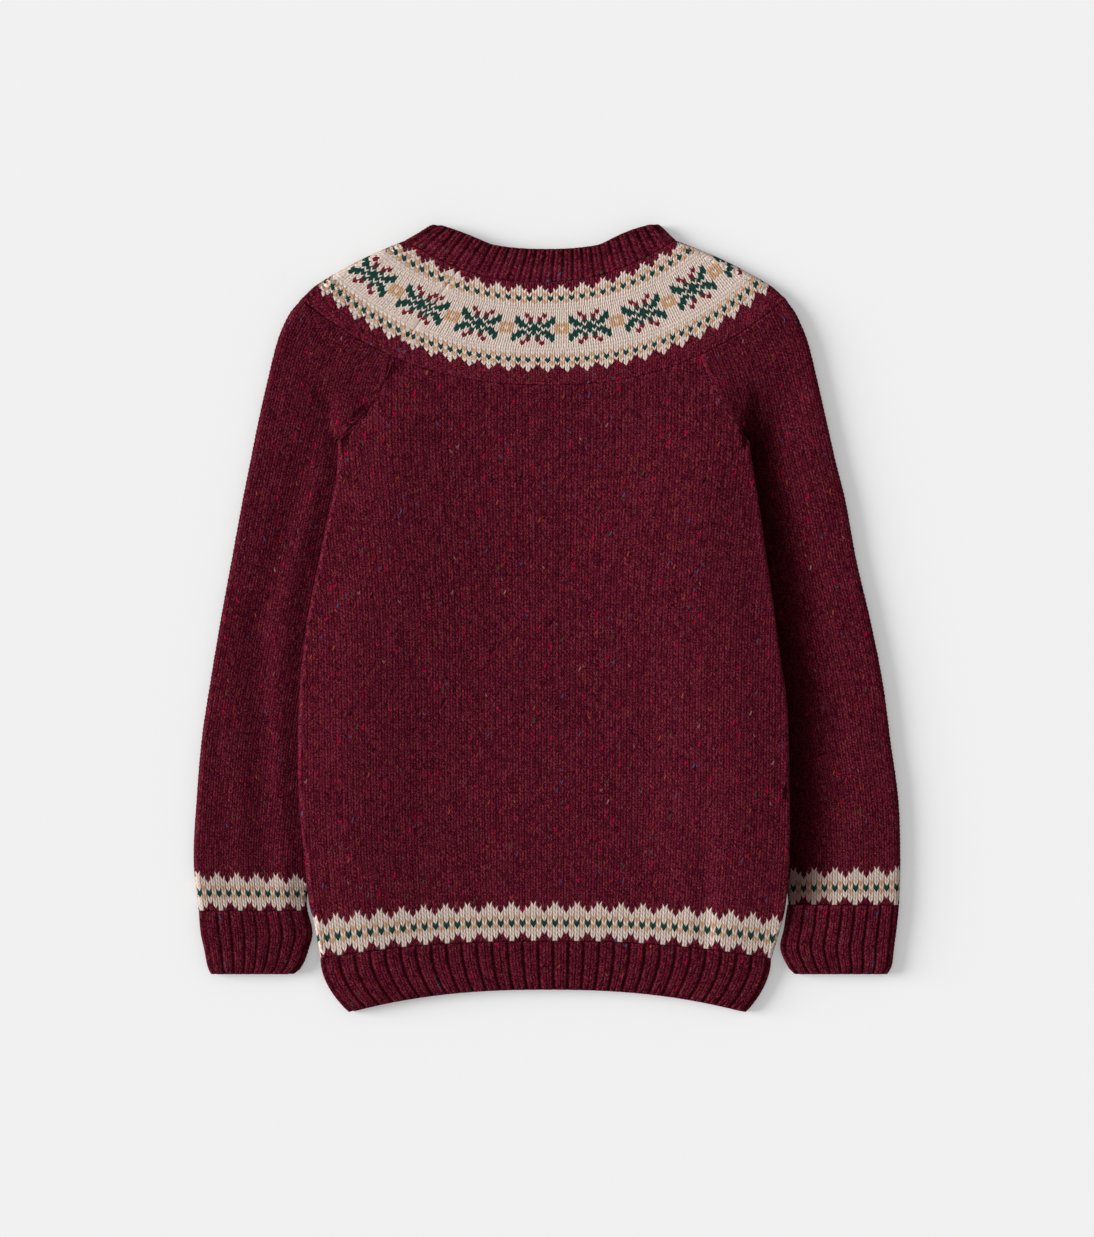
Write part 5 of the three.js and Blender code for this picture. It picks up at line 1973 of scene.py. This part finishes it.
@dataclass(frozen=True)
class Studio:
    """A pale floor, soft light from the left, and the camera straight above.

    Attributes:
        lens: The camera's focal length in mm.
        middle_y: Where the middle of the photograph is, in metres.
        floor_albedo: Share of the light that the floor gives back.
        floor_glow: Light of its own, as of a lit table.
        key_turn: Degrees round from the right, from which the key light comes.
        key_rise: Degrees that the key light stands over the floor.
        key_spread: Degrees that it looks wide from the jumper, which makes shadows soft.
        sky: Even light from all round.
    """

    lens: float = 85.0
    sensor: float = 36.0
    middle_y: float = -0.0007
    cloth_top: float = 0.009
    floor_albedo: float = 0.66
    floor_glow: float = 0.217
    floor_half: float = 6.0
    key_turn: float = 172.0
    key_rise: float = 20.0
    key_away: float = 3.0
    key_spread: float = 30.0
    key_strength: float = 4.6
    sky: float = 0.5

    def build(self) -> None:
        """Makes the floor, the lights, the sky and the camera."""
        bpy.context.scene.view_settings.view_transform = "Standard"
        self.make_floor()
        self.make_key()
        self.make_sky()
        self.make_camera()

    def make_floor(self) -> None:
        """A flat sheet under the jumper, far wider than the view."""
        half = self.floor_half
        mesh = bpy.data.meshes.new("floor")
        corners = [(-half, -half, 0), (half, -half, 0), (half, half, 0), (-half, half, 0)]
        mesh.from_pydata(corners, [], [(0, 1, 2, 3)])
        material = bpy.data.materials.new("pale_floor")
        nodes = Nodes(material)
        shader = nodes.make("ShaderNodeBsdfPrincipled", {}, {
            "Base Color": (*[self.floor_albedo] * 3, 1.0), "Roughness": 1.0, "Specular IOR Level": 0.0,
            "Emission Color": (1.0, 1.0, 1.0, 1.0), "Emission Strength": self.floor_glow})
        nodes.make("ShaderNodeOutputMaterial", {}, {"Surface": shader})
        mesh.materials.append(material)
        floor = bpy.data.objects.new("floor", mesh)
        bpy.context.scene.collection.objects.link(floor)

    def make_key(self) -> None:
        """A large soft light from the left, low over the floor and so far off that it is even."""
        light = bpy.data.lights.new("key", "SUN")
        light.angle = math.radians(self.key_spread)
        light.energy = self.key_strength
        turn, rise = math.radians(self.key_turn), math.radians(self.key_rise)
        lamp = bpy.data.objects.new("key", light)
        flat = self.key_away * math.cos(rise)
        lamp.location = (flat * math.cos(turn), flat * math.sin(turn), self.key_away * math.sin(rise))
        lamp.rotation_euler = (math.pi / 2 - rise, 0, turn + math.pi / 2)
        bpy.context.scene.collection.objects.link(lamp)

    def make_sky(self) -> None:
        """Even white light from all round."""
        world = bpy.data.worlds.new("sky")
        world.use_nodes = True
        background = world.node_tree.nodes["Background"]
        background.inputs["Color"].default_value = (1.0, 1.0, 1.0, 1.0)
        background.inputs["Strength"].default_value = self.sky
        bpy.context.scene.world = world

    def make_camera(self) -> None:
        """The camera, as high as makes the photograph's long side fill its frame."""
        camera = bpy.data.cameras.new("camera")
        camera.lens = self.lens
        camera.sensor_width = self.sensor
        camera.clip_end = 20.0
        tall = max(PHOTO_SIZE) * PHOTO_MM_PER_PIXEL * MM
        seen = bpy.data.objects.new("camera", camera)
        seen.location = (0.0, self.middle_y, self.cloth_top + tall * self.lens / self.sensor)
        bpy.context.scene.collection.objects.link(seen)
        bpy.context.scene.camera = seen


def jumper_pieces() -> list[KnitPiece]:
    """Every piece of the jumper, from the back to the neckband."""
    coarse = {"per_wale": 1, "per_course": 1, "step": (8, 4)}
    pieces: list[KnitPiece] = [
        BodyPanel("back", "body_wool", courses=130, face=Face.BACK),
        BodyPanel("front", "body_wool", courses=125, face=Face.FRONT, **coarse),
        HemRib("hem_rib_back", "rib_wool", courses=13, face=Face.BACK),
        HemRib("hem_rib_front", "rib_wool", courses=13, face=Face.FRONT, per_rib=4, per_course=1),
    ]
    # The painted shadow beside the body is faint on the left sleeve and deep on the right.
    left = {"gauge_scale": 1.0, "hollow_shade": 0.1}
    right = {"gauge_scale": 1.06, "hollow": (12, 42), "hollow_shade": 0.96}
    for name, side, looks in (("left", LEFT, left), ("right", RIGHT, right)):
        pieces.append(Sleeve(f"sleeve_{name}", "body_wool", courses=144, side=side, **looks))
        pieces.append(Cuff(f"cuff_{name}", "rib_wool", courses=16, side=side, ring=True))
    pieces.append(Yoke("yoke", "yoke_wool", courses=30, per_course=3, stitch=Stitch(lean=0.9)))
    neck = Ribbing(wales=1, rise=1.15, groove=0.1, sharp=3.6, over_base=0.55)
    pieces.append(Neckband(
        "neckband", "rib_wool", courses=11, ring=True, ribs=24, per_rib=12, under_columns=60,
        ribbing=neck, fade=(0.2, 0.75)))
    return pieces


def main() -> None:
    """Builds the studio and the jumper."""
    logging.basicConfig(level=logging.INFO, format="%(message)s")
    Studio().build()
    wool = Wool()
    for piece in jumper_pieces():
        piece.build(wool)


if __name__ == "__main__":
    main()
